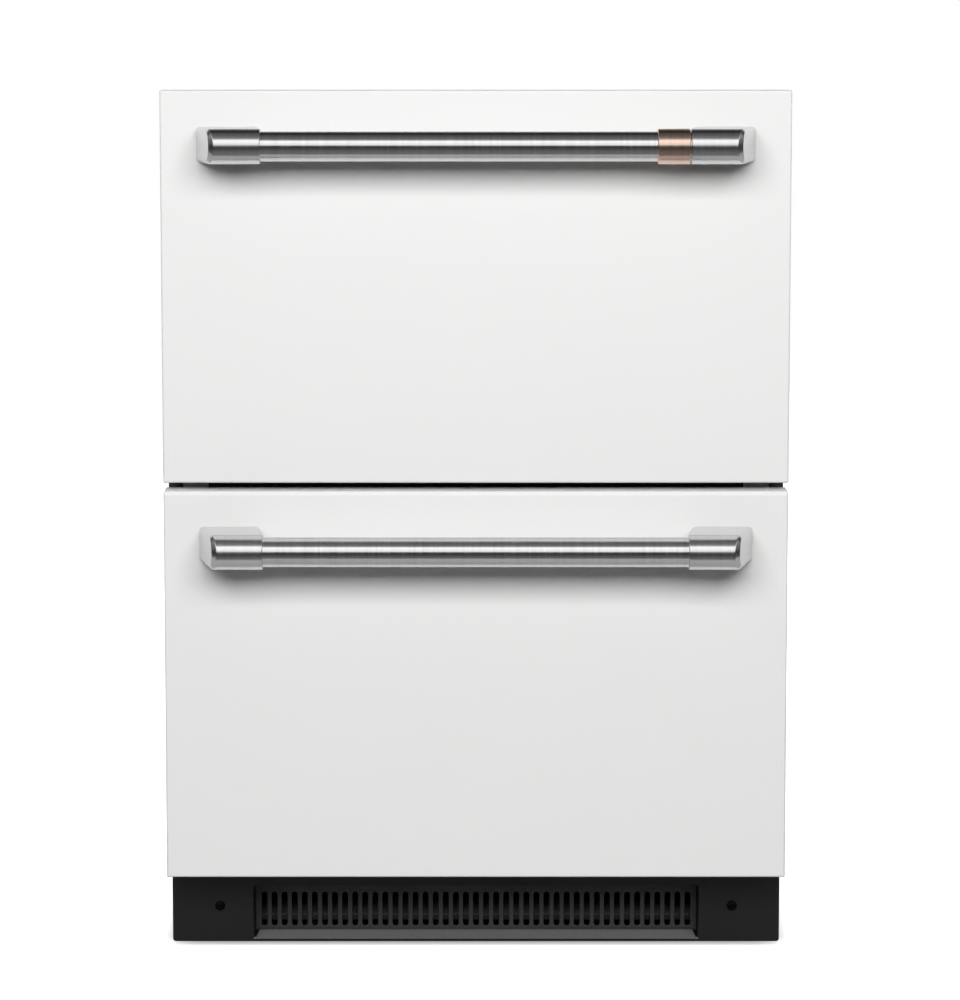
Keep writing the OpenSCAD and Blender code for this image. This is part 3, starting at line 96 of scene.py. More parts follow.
def noise(tree, vector, scale, detail, roughness=0.5):
    node = addNode(tree, "ShaderNodeTexNoise")
    feed(tree, node.inputs["Vector"], vector)
    feed(tree, node.inputs["Scale"], scale)
    feed(tree, node.inputs["Detail"], detail)
    feed(tree, node.inputs["Roughness"], roughness)
    return node.outputs["Fac"]


floatSocket, wholeSocket, vectorSocket = "NodeSocketFloat", "NodeSocketInt", "NodeSocketVector"
meshSocket, finishSocket = "NodeSocketGeometry", "NodeSocketMaterial"


def newGroup(name, inputs, outputs, kind="ShaderNodeTree"):
    group = bpy.data.node_groups.new(name, kind)
    for socketName, socketKind, value in inputs:
        socket = group.interface.new_socket(name=socketName, in_out="INPUT", socket_type=socketKind)
        if value is not None:
            socket.default_value = value
    for socketName, socketKind in outputs:
        group.interface.new_socket(name=socketName, in_out="OUTPUT", socket_type=socketKind)
    return group, group.nodes.new("NodeGroupInput"), group.nodes.new("NodeGroupOutput")


# shared surface effects, each with the values its noises keep in every material

grainFacts = {"detail": 2.0, "coarseScale": 0.22, "middle": 0.5}
peelFacts = {"fineDetail": 1.0, "broadScale": 9.0, "broadDetail": 2.0}
wearAndSheenFacts = {"patchDetail": 4.0, "patchRoughness": 0.6, "smudgeLow": 0.42, "smudgeHigh": 0.66,
             "speckScale": 700.0, "speckDetail": 2.0, "speckLow": 0.35, "speckHigh": 0.7, "speckLeast": 0.4,
             "upLow": 0.4, "upHigh": 0.9}
textureFacts = {"toneScale": 60.0, "toneDetail": 3.0}
heightAndTone = [("Height", floatSocket), ("Tone", floatSocket)]


def makeBrushedGrain(facts):
    # fine scratches, closest together along the axis with the highest stretch, as a height and a tone
    group, given, result = newGroup("brushedGrain", [
        ("Vector", vectorSocket, None), ("Stretch", vectorSocket, (900.0, 12.0, 12.0)),
        ("Contrast", floatSocket, 1.0)], heightAndTone)
    scaled = addNode(group, "ShaderNodeVectorMath", operation="MULTIPLY")
    feed(group, scaled.inputs[0], given.outputs["Vector"])
    feed(group, scaled.inputs[1], given.outputs["Stretch"])
    fine = noise(group, scaled.outputs[0], 1.0, facts["detail"])
    coarse = noise(group, scaled.outputs[0], facts["coarseScale"], facts["detail"])
    both = mathNode(group, "MULTIPLY_ADD", coarse, 0.5, times(group, fine, 0.5))
    centred = mathNode(group, "SUBTRACT", both, facts["middle"])
    tone = mathNode(group, "MULTIPLY_ADD", centred, given.outputs["Contrast"], facts["middle"])
    feed(group, result.inputs["Height"], fine)
    feed(group, result.inputs["Tone"], tone)
    return group


def makeOrangePeel(facts):
    # the soft ripple of sprayed or powder-coated paint
    group, given, result = newGroup("orangePeel", [
        ("Vector", vectorSocket, None), ("Size", floatSocket, 420.0)], heightAndTone)
    fine = noise(group, given.outputs["Vector"], given.outputs["Size"], facts["fineDetail"])
    broad = noise(group, given.outputs["Vector"], facts["broadScale"], facts["broadDetail"])
    feed(group, result.inputs["Height"], fine)
    feed(group, result.inputs["Tone"], broad)
    return group


def makeHandledWearAndSheen(facts):
    # patches where hands and cloths have dulled a surface, and a lighter tone on what faces up, partly dust
    # and partly painted sheen
    group, given, result = newGroup("handledWear", [
        ("Vector", vectorSocket, None), ("Patch", floatSocket, 14.0), ("Dust", floatSocket, 0.3)],
        [("Smudge", floatSocket), ("Dust", floatSocket)])
    place = given.outputs["Vector"]
    patches = noise(group, place, given.outputs["Patch"], facts["patchDetail"], facts["patchRoughness"])
    smudge = remap(group, patches, facts["smudgeLow"], facts["smudgeHigh"])
    specks = noise(group, place, facts["speckScale"], facts["speckDetail"])
    specks = remap(group, specks, facts["speckLow"], facts["speckHigh"], facts["speckLeast"], 1.0)
    geometry = addNode(group, "ShaderNodeNewGeometry")
    parts = addNode(group, "ShaderNodeSeparateXYZ")
    feed(group, parts.inputs[0], geometry.outputs["Normal"])
    # faces that point up are lightened: partly dust, partly painted sheen
    upward = remap(group, parts.outputs["Z"], facts["upLow"], facts["upHigh"])
    feed(group, result.inputs["Smudge"], smudge)
    feed(group, result.inputs["Dust"], times(group, times(group, upward, given.outputs["Dust"]), specks))
    return group


def makeMouldedTexture(facts):
    # the spark-eroded texture of moulded plastic
    group, given, result = newGroup("mouldedTexture", [
        ("Vector", vectorSocket, None), ("Size", floatSocket, 1500.0)], heightAndTone)
    place = given.outputs["Vector"]
    cells = addNode(group, "ShaderNodeTexVoronoi", feature="SMOOTH_F1")
    feed(group, cells.inputs["Vector"], place)
    feed(group, cells.inputs["Scale"], given.outputs["Size"])
    feed(group, result.inputs["Height"], cells.outputs["Distance"])
    feed(group, result.inputs["Tone"], noise(group, place, facts["toneScale"], facts["toneDetail"]))
    return group


brushedGrain = makeBrushedGrain(grainFacts)
orangePeel = makeOrangePeel(peelFacts)
handledWear = makeHandledWearAndSheen(wearAndSheenFacts)
mouldedTexture = makeMouldedTexture(textureFacts)


# materials

def startMaterial(name, settings):
    material = bpy.data.materials.new(name)
    material.use_nodes = True
    tree = material.node_tree
    shader = tree.nodes["Principled BSDF"]
    for socketName, value in settings.items():
        shader.inputs[socketName].default_value = value
    place = addNode(tree, "ShaderNodeTexCoord").outputs["Object"]
    return material, tree, shader, place


def placeGroup(tree, group, place, **values):
    node = addNode(tree, "ShaderNodeGroup", node_tree=group)
    feed(tree, node.inputs["Vector"], place)
    for name, value in values.items():
        feed(tree, node.inputs[name], value)
    return node.outputs


def bump(tree, shader, height, distance, strength):
    node = addNode(tree, "ShaderNodeBump")
    feed(tree, node.inputs["Height"], height)
    feed(tree, node.inputs["Distance"], distance)
    feed(tree, node.inputs["Strength"], strength)
    feed(tree, shader.inputs["Normal"], node.outputs["Normal"])


def colour(values, factor=1.0, lift=0.0):
    return tuple(min(v * factor + lift, 1.0) for v in values) + (1.0,)


def coat(tree, shader, wear, toned, dusty, roughness, smudge, height, distance):
    # what paints and plastics share: dust and painted sheen over the tone, dulled patches and a relief
    feed(tree, shader.inputs["Base Color"], mixColours(tree, wear["Dust"], toned, dusty))
    dulled = remap(tree, wear["Smudge"], 0.0, 1.0, roughness, roughness + smudge)
    feed(tree, shader.inputs["Roughness"], dulled)
    bump(tree, shader, height, distance, strength=0.5)


def paint(name, base, roughness, peel=0.00004, dust=0.2, shade=0.03, level=0.5):
    material, tree, shader, place = startMaterial(name, {"Specular IOR Level": level})
    ripple = placeGroup(tree, orangePeel, place)
    wear = placeGroup(tree, handledWear, place, Dust=dust)
    toned = mixColours(tree, ripple["Tone"], colour(base, 1 - shade), colour(base, 1 + shade))
    # the lighter colour that upward faces take on, partly dust and partly painted sheen
    dusty = colour(base, factor=0.55, lift=0.26)
    coat(tree, shader, wear, toned, dusty, roughness, smudge=0.07, height=ripple["Height"], distance=peel)
    return material


def plastic(name, base, roughness, texture=0.00002, size=1500.0, dust=0.15, shade=0.06, extra=None):
    material, tree, shader, place = startMaterial(name, extra or {})
    cells = placeGroup(tree, mouldedTexture, place, Size=size)
    wear = placeGroup(tree, handledWear, place, Dust=dust)
    toned = mixColours(tree, cells["Tone"], colour(base, 1 - shade), colour(base, 1 + shade))
    # the lighter colour that upward faces take on, partly dust and partly painted sheen
    dusty = colour(base, factor=0.6, lift=0.14)
    coat(tree, shader, wear, toned, dusty, roughness, smudge=0.08, height=cells["Height"], distance=texture)
    return material


def metal(name, base, roughness, stretch, contrast, cut=0.00001, tint=0.9, smudge=0.05, spread=0.12):
    material, tree, shader, place = startMaterial(name, {"Metallic": 1.0})
    grain = placeGroup(tree, brushedGrain, place, Stretch=stretch, Contrast=contrast)
    wear = placeGroup(tree, handledWear, place, Patch=22.0, Dust=0.0)
    toned = mixColours(tree, grain["Tone"], colour(base, tint), colour(base, 2 - tint))
    feed(tree, shader.inputs["Base Color"], toned)
    varied = mathNode(tree, "MULTIPLY_ADD", grain["Tone"], spread, roughness - spread / 2)
    feed(tree, shader.inputs["Roughness"], mathNode(tree, "MULTIPLY_ADD", wear["Smudge"], smudge, varied))
    bump(tree, shader, grain["Height"], cut, strength=0.6)
    return material


def foamed(name, base, size=620.0, depth=0.0006, darkest=0.8, lightest=1.1):
    material, tree, shader, place = startMaterial(name, {"Roughness": 0.9})
    cells = placeGroup(tree, mouldedTexture, place, Size=size)
    toned = mixColours(tree, cells["Tone"], colour(base, darkest), colour(base, lightest))
    feed(tree, shader.inputs["Base Color"], toned)
    bump(tree, shader, cells["Height"], depth, strength=0.8)
    return material


alongX = (1400.0, 18.0, 18.0)
alongZ = (18.0, 18.0, 1400.0)
alongRails = (18.0, 500.0, 500.0)
turned = {"cut": 0.000002, "smudge": 0.015}
finishes = {
    "frontPaint": paint("frontPaint", (0.86, 0.865, 0.855), 0.42, dust=0.0, shade=0.004),
    "casePaint": paint("casePaint", (0.05, 0.052, 0.055), 0.42, dust=0.1),
    # the strong lightening of this paint's upward faces, such as the toe kick's flap, is painted sheen
    "blackPaint": paint("blackPaint", (0.0075, 0.0075, 0.008), 0.5, peel=0.00006, dust=1.3, shade=0.1,
                        level=0.35),
    "grilleBlack": paint("grilleBlack", (0.042, 0.042, 0.043), 0.48, dust=0.5, shade=0.1, level=0.45),
    "screwBlack": metal("screwBlack", (0.009, 0.009, 0.01), 0.34, (300.0, 300.0, 300.0), 1.4, tint=0.8),
    "galvanised": metal("galvanised", (0.62, 0.64, 0.66), 0.42, (60.0, 60.0, 60.0), 1.6, tint=0.84),
    "rodSteel": metal("rodSteel", (0.66, 0.66, 0.665), 0.17, alongX, 1.7, tint=0.88, **turned),
    "bracketSteel": metal("bracketSteel", (0.68, 0.68, 0.685), 0.21, alongX, 1.5, tint=0.89, **turned),
    "slideSteel": metal("slideSteel", (0.6, 0.62, 0.64), 0.3, alongRails, 0.6),
    "ringCopper": metal("ringCopper", (0.74, 0.545, 0.45), 0.22, alongX, 1.7, tint=0.86, **turned),
    "tubeCopper": metal("tubeCopper", (0.75, 0.38, 0.24), 0.34, (90.0, 90.0, 90.0), 1.0, tint=0.85),
    "finAluminium": metal("finAluminium", (0.78, 0.79, 0.8), 0.36, alongZ, 0.5),
    "blackPlastic": plastic("blackPlastic", (0.02, 0.02, 0.021), 0.5, dust=0.05),
    "greyPlastic": plastic("greyPlastic", (0.2, 0.21, 0.22), 0.48),
    "whitePlastic": plastic("whitePlastic", (0.78, 0.8, 0.81), 0.28, texture=0.000008, dust=0.0),
    "foam": foamed("foam", (0.86, 0.74, 0.45)),
    "gasketRubber": plastic("gasketRubber", (0.024, 0.024, 0.025), 0.62, size=900.0, dust=0.12),
    "displayGlass": plastic("displayGlass", (0.01, 0.01, 0.014), 0.06, texture=0.0,
                            extra={"Coat Weight": 1.0, "Coat Roughness": 0.03}),
    "lens": plastic("lens", (0.9, 0.93, 0.95), 0.2, texture=0.00004, dust=0.0,
                    extra={"Emission Color": (0.93, 0.97, 1.0, 1.0), "Emission Strength": 0.6}),
    "digitGlow": plastic("digitGlow", (0.85, 0.93, 1.0), 0.3, texture=0.0, dust=0.0,
                         extra={"Emission Color": (0.75, 0.9, 1.0, 1.0), "Emission Strength": 1.6}),
}

finishOfSlot = {
    "white_paint": "frontPaint", "case_paint": "casePaint", "black_paint": "blackPaint",
    "galvanised_sheet": "galvanised", "handle_steel": "rodSteel", "slide_steel": "slideSteel",
    "copper_ring": "ringCopper", "copper_tube": "tubeCopper", "black_plastic": "blackPlastic",
    "grey_plastic": "greyPlastic", "white_plastic": "whitePlastic", "foam": "foam",
    "gasket_rubber": "gasketRubber", "fin_aluminium": "finAluminium", "display_glass": "displayGlass",
    "light_lens": "lens",
}
for nodeName, slot in slotOfNode.items():
    finish = "bracketSteel" if nodeName.endswith("_bracket") else finishOfSlot[slot]
    nodes[nodeName].data.materials.clear()
    nodes[nodeName].data.materials.append(finishes[finish])
print("finishes placed")


# pieces that geometry trees grow, each kept as a plain mesh

def titled(name):
    # headRadius becomes Head Radius
    spaced = "".join(" " + letter if letter.isupper() else letter for letter in name)
    return spaced[0].upper() + spaced[1:]


def newShapeTree(name, facts):
    # one input for each value, by its name, between the points and the finish
    values = [(titled(key), wholeSocket if isinstance(value, int) else floatSocket, value)
              for key, value in facts.items()]
    inputs = [("Geometry", meshSocket, None)] + values + [("Finish", finishSocket, None)]
    tree, given, result = newGroup(name, inputs, [("Geometry", meshSocket)], "GeometryNodeTree")
    return tree, given.outputs, result


def shapeNode(tree, kind, values, **settings):
    node = addNode(tree, kind, **settings)
    for name, value in values.items():
        for part in value if isinstance(value, list) else [value]:
            feed(tree, node.inputs[name], part)
    return node.outputs[0]


def vectorOf(tree, x=0.0, y=0.0, z=0.0):
    return shapeNode(tree, "ShaderNodeCombineXYZ", {"X": x, "Y": y, "Z": z})


def moved(tree, shape, offset=(0.0, 0.0, 0.0), turn=(0.0, 0.0, 0.0)):
    values = {"Geometry": shape, "Translation": offset, "Rotation": turn}
    return shapeNode(tree, "GeometryNodeTransform", values)


def between(tree, first, second):
    # half way from one value to the other
    return times(tree, mathNode(tree, "ADD", first, second), 0.5)


def endTree(tree, shape, given, result):
    solid = shapeNode(tree, "GeometryNodeRealizeInstances", {"Geometry": shape})
    finished = shapeNode(tree, "GeometryNodeSetMaterial", {"Geometry": solid, "Material": given["Finish"]})
    feed(tree, result.inputs["Geometry"], finished)
    return tree


def evaluatedMesh(holder):
    bpy.context.view_layer.update()
    depsgraph = bpy.context.evaluated_depsgraph_get()
    mesh = bpy.data.meshes.new_from_object(holder.evaluated_get(depsgraph), depsgraph=depsgraph)
    bpy.data.objects.remove(holder)
    return mesh


def grow(tree, facts, finish, points=()):
    # the points carry a place and a turn for each copy
    values = {titled(key): value for key, value in facts.items()}
    values["Finish"] = finishes[finish]
    base = bpy.data.meshes.new("growPoints")
    base.from_pydata([place for place, turn in points], [], [])
    turns = base.attributes.new("turn", "FLOAT_VECTOR", "POINT")
    for i, (place, turn) in enumerate(points):
        turns.data[i].vector = turn
    holder = bpy.data.objects.new("grower", base)
    bpy.context.collection.objects.link(holder)
    modifier = holder.modifiers.new("grow", "NODES")
    modifier.node_group = tree
    for socket in tree.interface.items_tree:
        if socket.name in values and socket.in_out == "INPUT":
            modifier[socket.identifier] = values[socket.name]
    return evaluatedMesh(holder)


def placePiece(name, mesh, body, slot, *replaced):
    mesh.name = name
    piece = bpy.data.objects.new(name, mesh)
    bpy.context.collection.objects.link(piece)
    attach(piece, body)
    if replaced:
        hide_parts(*replaced)
    return piece


weldReach = 0.000005


def mergedCopy(cadNode):
    merged = bmesh.new()
    merged.from_mesh(cadNode.data)
    bmesh.ops.remove_doubles(merged, verts=merged.verts, dist=weldReach)
    return merged


def islandBoxes(cadNode):
    # lowest and highest corner of each separate solid in a CAD node
    merged = mergedCopy(cadNode)
    left, boxes = set(merged.verts), []
    while left:
        reach = [left.pop()]
        island = []
        while reach:
            vertex = reach.pop()
            island.append(vertex.co.copy())
            for edge in vertex.link_edges:
                other = edge.other_vert(vertex)
                if other in left:
                    left.remove(other)
                    reach.append(other)
        boxes.append(tuple([end(corner[i] for corner in island) for i in range(3)] for end in (min, max)))
    merged.free()
    return sorted(boxes)


# screws with a cross recess

screws = {"headRadius": 0.0051, "headHeight": 0.002, "shankRadius": 0.0019, "shankLength": 0.015,
          "recessWidth": 0.0012, "recessLength": 0.006, "recessDepth": 0.0013}
spinStep = 0.62    # each cross stands turned a little further than the last


def makeScrewTree(facts):
    tree, given, result = newShapeTree("crossScrews", facts)
    ball = shapeNode(tree, "GeometryNodeMeshUVSphere", {
        "Segments": 28, "Rings": 14, "Radius": given["Head Radius"]})
    spot = addNode(tree, "ShaderNodeSeparateXYZ")
    feed(tree, spot.inputs[0], shapeNode(tree, "GeometryNodeInputPosition", {}))
    squat = mathNode(tree, "DIVIDE", given["Head Height"], given["Head Radius"])
    rise = times(tree, mathNode(tree, "MAXIMUM", spot.outputs["Z"], 0.0), squat)
    dome = shapeNode(tree, "GeometryNodeSetPosition", {
        "Geometry": ball, "Position": vectorOf(tree, spot.outputs["X"], spot.outputs["Y"], rise)})
    deep = times(tree, given["Recess Depth"], 2.0)
    long, wide = given["Recess Length"], given["Recess Width"]
    arms = []
    for size in ((long, wide), (wide, long)):
        arm = shapeNode(tree, "GeometryNodeMeshCube", {"Size": vectorOf(tree, size[0], size[1], deep)})
        arms.append(moved(tree, arm, vectorOf(tree, z=given["Head Height"])))
    head = shapeNode(tree, "GeometryNodeMeshBoolean", {"Mesh 1": dome, "Mesh 2": arms},
                     operation="DIFFERENCE")
    shank = shapeNode(tree, "GeometryNodeMeshCylinder", {
        "Vertices": 14, "Radius": given["Shank Radius"], "Depth": given["Shank Length"]})
    shank = moved(tree, shank, vectorOf(tree, z=times(tree, given["Shank Length"], -0.5)))
    screw = shapeNode(tree, "GeometryNodeJoinGeometry", {"Geometry": [head, shank]})
    turn = shapeNode(tree, "GeometryNodeInputNamedAttribute", {"Name": "turn"}, data_type="FLOAT_VECTOR")
    copies = shapeNode(tree, "GeometryNodeInstanceOnPoints", {
        "Points": given["Geometry"], "Instance": screw,
        "Rotation": shapeNode(tree, "FunctionNodeEulerToRotation", {"Euler": turn})})
    return endTree(tree, copies, given, result)


def screwPoints(node, headHeight):
    # each head's foot on its surface: on the top, the front or the back
    points = []
    for i, (low, high) in enumerate(islandBoxes(nodes[node])):
        x, y, z = [(a + b) / 2 for a, b in zip(low, high)]
        spin = i * spinStep
        if high[2] - low[2] > high[1] - low[1]:
            points.append(((x, y, high[2] - headHeight), (0.0, 0.0, spin)))
        elif y < 0.0:
            points.append(((x, low[1] + headHeight, z), (math.pi / 2, spin, 0.0)))
        else:
            points.append(((x, high[1] - headHeight, z), (-math.pi / 2, spin, 0.0)))
    return points


spots = screwPoints("panel_screws", screws["headHeight"])
screwMesh = grow(makeScrewTree(screws), screws, "screwBlack", spots)
placePiece("crossScrews", screwMesh, "cabinet", "black_paint", "panel_screws")
print("screws grown")


# vent grille: a plate with a row of round-ended slots

grilleLow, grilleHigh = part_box("vent_grille")
grille = {"width": grilleHigh[0] - grilleLow[0], "low": grilleLow[2], "high": grilleHigh[2],
          "back": grilleHigh[1], "thickness": grilleHigh[1] - grilleLow[1], "count": 43, "pitch": 0.0101,
          "slotWidth": 0.0058, "slotLength": 0.035, "slotLow": 0.012, "endSteps": 7}
grilleEdge = 0.0003
almostHalf = 0.499    # at a full half, the two fillets of a slot's end would leave a double point
plateWeld = 0.000004


def makeSlottedPlate(facts):
    tree, given, result = newShapeTree("slottedPlate", facts)
    tall = mathNode(tree, "SUBTRACT", given["High"], given["Low"])
    outline = shapeNode(tree, "GeometryNodeCurvePrimitiveQuadrilateral", {
        "Width": given["Width"], "Height": tall})
    outline = moved(tree, outline, vectorOf(tree, y=between(tree, given["High"], given["Low"])))
    slot = shapeNode(tree, "GeometryNodeCurvePrimitiveQuadrilateral", {
        "Width": given["Slot Width"], "Height": given["Slot Length"]})
    slot = shapeNode(tree, "GeometryNodeFilletCurve", {
        "Curve": slot, "Count": given["End Steps"],
        "Radius": times(tree, given["Slot Width"], almostHalf)}, mode="POLY")
    start = times(tree, mathNode(tree, "SUBTRACT", given["Count"], 1.0), times(tree, given["Pitch"], -0.5))
    middle = mathNode(tree, "MULTIPLY_ADD", given["Slot Length"], 0.5, given["Slot Low"])
    line = shapeNode(tree, "GeometryNodeMeshLine", {
        "Count": given["Count"], "Start Location": vectorOf(tree, start, middle),
        "Offset": vectorOf(tree, given["Pitch"])})
    slots = shapeNode(tree, "GeometryNodeInstanceOnPoints", {"Points": line, "Instance": slot})
    slots = shapeNode(tree, "GeometryNodeRealizeInstances", {"Geometry": slots})
    curves = shapeNode(tree, "GeometryNodeJoinGeometry", {"Geometry": [outline, slots]})
    face = shapeNode(tree, "GeometryNodeFillCurve", {"Curve": curves})
    front = shapeNode(tree, "GeometryNodeExtrudeMesh", {
        "Mesh": face, "Offset Scale": given["Thickness"], "Individual": False})
    back = shapeNode(tree, "GeometryNodeFlipFaces", {"Mesh": face})
    solid = shapeNode(tree, "GeometryNodeJoinGeometry", {"Geometry": [front, back]})
    solid = shapeNode(tree, "GeometryNodeMergeByDistance", {"Geometry": solid, "Distance": plateWeld})
    solid = moved(tree, solid, vectorOf(tree, y=given["Back"]), (math.pi / 2, 0.0, 0.0))
    return endTree(tree, solid, given, result)


bevelAngle = math.radians(30.0)


def bevelled(mesh, width, segments=2):
    holder = bpy.data.objects.new("bevelling", mesh)
    bpy.context.collection.objects.link(holder)
    for polygon in mesh.polygons:
        polygon.use_smooth = True
    bevel = holder.modifiers.new("edges", "BEVEL")
    bevel.width, bevel.segments = width, segments
    bevel.limit_method, bevel.angle_limit = "ANGLE", bevelAngle
    bevel.use_clamp_overlap = False
    holder.modifiers.new("shading", "WEIGHTED_NORMAL")
    return evaluatedMesh(holder)


grilleMesh = bevelled(grow(makeSlottedPlate(grille), grille, "grilleBlack"), grilleEdge, 1)
placePiece("ventGrille", grilleMesh, "cabinet", "black_plastic", "vent_grille")
print("grille grown")


# ribs moulded in the bin floors

# where the ribs start and end, the height of their axes and how far they reach to each side
ribs = {"front": -0.2, "back": 0.222, "floor": 0.5026, "reach": 0.232, "pitch": 0.024, "radius": 0.0011}
ribbedFloors = {
    # what differs on this floor, and the body
    "upperBinRibs": ({}, "upper_drawer"),
    "lowerBinRibs": ({"back": 0.06, "floor": 0.1219}, "lower_drawer"),
}


def makeRibTree(facts):
    tree, given, result = newShapeTree("floorRibs", facts)
    length = mathNode(tree, "SUBTRACT", given["Back"], given["Front"])
    middle = between(tree, given["Back"], given["Front"])
    rib = shapeNode(tree, "GeometryNodeMeshCylinder", {
        "Vertices": 12, "Radius": given["Radius"], "Depth": length})
    rib = moved(tree, rib, turn=(math.pi / 2, 0.0, 0.0))
    half = mathNode(tree, "FLOOR", mathNode(tree, "DIVIDE", given["Reach"], given["Pitch"]))
    start = times(tree, times(tree, half, given["Pitch"]), -1.0)
    count = mathNode(tree, "MULTIPLY_ADD", half, 2.0, 1.0)
    line = shapeNode(tree, "GeometryNodeMeshLine", {
        "Count": count, "Start Location": vectorOf(tree, start, middle, given["Floor"]),
        "Offset": vectorOf(tree, given["Pitch"])})
    copies = shapeNode(tree, "GeometryNodeInstanceOnPoints", {"Points": line, "Instance": rib})
    return endTree(tree, copies, given, result)


ribTree = makeRibTree(ribs)
for ribName, (changes, body) in ribbedFloors.items():
    placePiece(ribName, grow(ribTree, ribs | changes, "whitePlastic"), body, "white_plastic")
print("ribs grown")


# brackets and ring with finely broken edges, and front skins with tighter folds, all from merged copies
# of their solids

flatAngle = math.radians(0.5)


def redraw(nodeName, merged, body, edge, segments=2):
    # upper_left_bracket becomes the piece upperLeftBracket
    bmesh.ops.dissolve_limit(merged, angle_limit=flatAngle, verts=merged.verts, edges=merged.edges)
    mesh = bpy.data.meshes.new(nodeName)
    merged.to_mesh(mesh)
    merged.free()
    mesh.materials.append(nodes[nodeName].data.materials[0])
    first, *rest = nodeName.split("_")
    placePiece(first + "".join(word.capitalize() for word in rest), bevelled(mesh, edge, segments), body,
               slotOfNode[nodeName], nodeName)


edged = {
    # the body and the width of the broken edge
    "upper_left_bracket": ("upper_drawer", 0.0006), "upper_right_bracket": ("upper_drawer", 0.0006),
    "lower_left_bracket": ("lower_drawer", 0.0006), "lower_right_bracket": ("lower_drawer", 0.0006),
    "handle_ring": ("upper_drawer", 0.0004),
}
for nodeName, (body, edge) in edged.items():
    redraw(nodeName, mergedCopy(nodes[nodeName]), body, edge)
print("handle ends edged")

# solid is the radius of the folds in the solids, and inner the squared reach from a fold's axis within
# which a point lies on the sheet's inner face
folds = {"solid": 0.005, "side": 0.0022, "inner": 0.0000155, "tiny": 0.00001}
foldEdge = 0.00025
tightened = {
    # the body, and the new radii of the bottom and top folds
    "upper_front_skin": ("upper_drawer", 0.0022, 0.0022),
    "lower_front_skin": ("lower_drawer", 0.0022, 0.005),
}


def tighten(merged, low, high, facts, bottomRadius, topRadius):
    full, side, tiny = facts["solid"], facts["side"], facts["tiny"]
    for vertex in merged.verts:
        x, y, z = vertex.co
        isUpper = z > (low[2] + high[2]) / 2
        upRadius = topRadius if isUpper else bottomRadius
        # how far the point is past the start of the side fold, the top or bottom fold, and the front
        across = abs(x) - (high[0] - full)
        up = z - (high[2] - full) if isUpper else (low[2] + full) - z
        deep = low[1] + full - y
        overs = [max(v, 0.0) for v in (across, up, deep)]
        if max(overs[0] ** 2, overs[1] ** 2) + overs[2] ** 2 < facts["inner"]:
            continue
        if across > -tiny:
            vertex.co.x = math.copysign(high[0] - side + side * overs[0] / full, x)
        if up > -tiny:
            left = upRadius - upRadius * overs[1] / full
            vertex.co.z = high[2] - left if isUpper else low[2] + left
        if deep > -tiny and (across > -tiny or up > -tiny):
            share = overs[0] / max(overs[0] + overs[1], tiny)
            radius = side * share + upRadius * (1 - share)
            vertex.co.y = low[1] + radius * (1 - overs[2] / full)


for nodeName, (body, bottomRadius, topRadius) in tightened.items():
    merged = mergedCopy(nodes[nodeName])
    low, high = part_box(nodeName)
    tighten(merged, low, high, folds, bottomRadius, topRadius)
    bmesh.ops.recalc_face_normals(merged, faces=merged.faces)
    redraw(nodeName, merged, body, foldEdge, 1)
print("skins tightened")


# display digits and key symbols, raised a hair above their faces

marks = {"digits": "38", "digitHeight": 0.0074, "digitWidth": 0.0042, "digitGap": 0.0022, "stroke": 0.0009,
         "barShare": 0.92, "proud": 0.00012, "armLength": 0.0046, "armWidth": 0.0008,
         # the power sign's arc in degrees, and its stem as shares of the arc's radius
         "arcRadius": 0.0021, "arcSteps": 20, "arcStart": 125, "arcSweep": 290, "stemRise": 0.75,
         "stemLength": 1.3}
litBars = {"3": "abgcd", "8": "abcdefg"}


def prisms(outlines, front, back, finish):
    # closed outlines in x and z, drawn from front to back in y
    mesh = bmesh.new()
    for outline in outlines:
        near = [mesh.verts.new((x, front, z)) for x, z in outline]
        far = [mesh.verts.new((x, back, z)) for x, z in outline]
        mesh.faces.new(near)
        mesh.faces.new(list(reversed(far)))
        for i in range(len(near)):
            j = (i + 1) % len(near)
            mesh.faces.new((near[j], near[i], far[i], far[j]))
    bmesh.ops.recalc_face_normals(mesh, faces=mesh.faces)
    data = bpy.data.meshes.new("prisms")
    mesh.to_mesh(data)
    mesh.free()
    data.materials.append(finish)
    return data


def bar(x, z, length, width, upright):
    # a bar with pointed ends
    a, b = length / 2, width / 2
    along = [(-a, 0), (-a + b, b), (a - b, b), (a, 0), (a - b, -b), (-a + b, -b)]
    return [(x + (v if upright else u), z + (u if upright else v)) for u, v in along]


def digitBars(x, z, facts, digit):
    w, h = facts["digitWidth"] / 2, facts["digitHeight"] / 2
    flat, tall = facts["digitWidth"] * facts["barShare"], h * facts["barShare"]
    places = {"a": (0, h, False), "g": (0, 0, False), "d": (0, -h, False), "b": (w, h / 2, True),
              "c": (w, -h / 2, True), "e": (-w, -h / 2, True), "f": (-w, h / 2, True)}
    return [bar(x + offX, z + offZ, tall if upright else flat, facts["stroke"], upright)
            for offX, offZ, upright in (places[name] for name in litBars[digit])]


def powerSymbol(x, z, facts):
    steps, r, half = facts["arcSteps"], facts["arcRadius"], facts["armWidth"] / 2
    turns = [math.radians(facts["arcStart"] + facts["arcSweep"] * i / steps) for i in range(steps + 1)]
    pieces = []
    for a, b in zip(turns, turns[1:]):
        corners = ((r + half, a), (r + half, b), (r - half, b), (r - half, a))
        pieces.append([(x + reach * math.cos(turn), z + reach * math.sin(turn)) for reach, turn in corners])
    return pieces + [bar(x, z + r * facts["stemRise"], r * facts["stemLength"], facts["armWidth"], True)]


def minusSymbol(x, z, facts):
    return [bar(x, z, facts["armLength"], facts["armWidth"], False)]


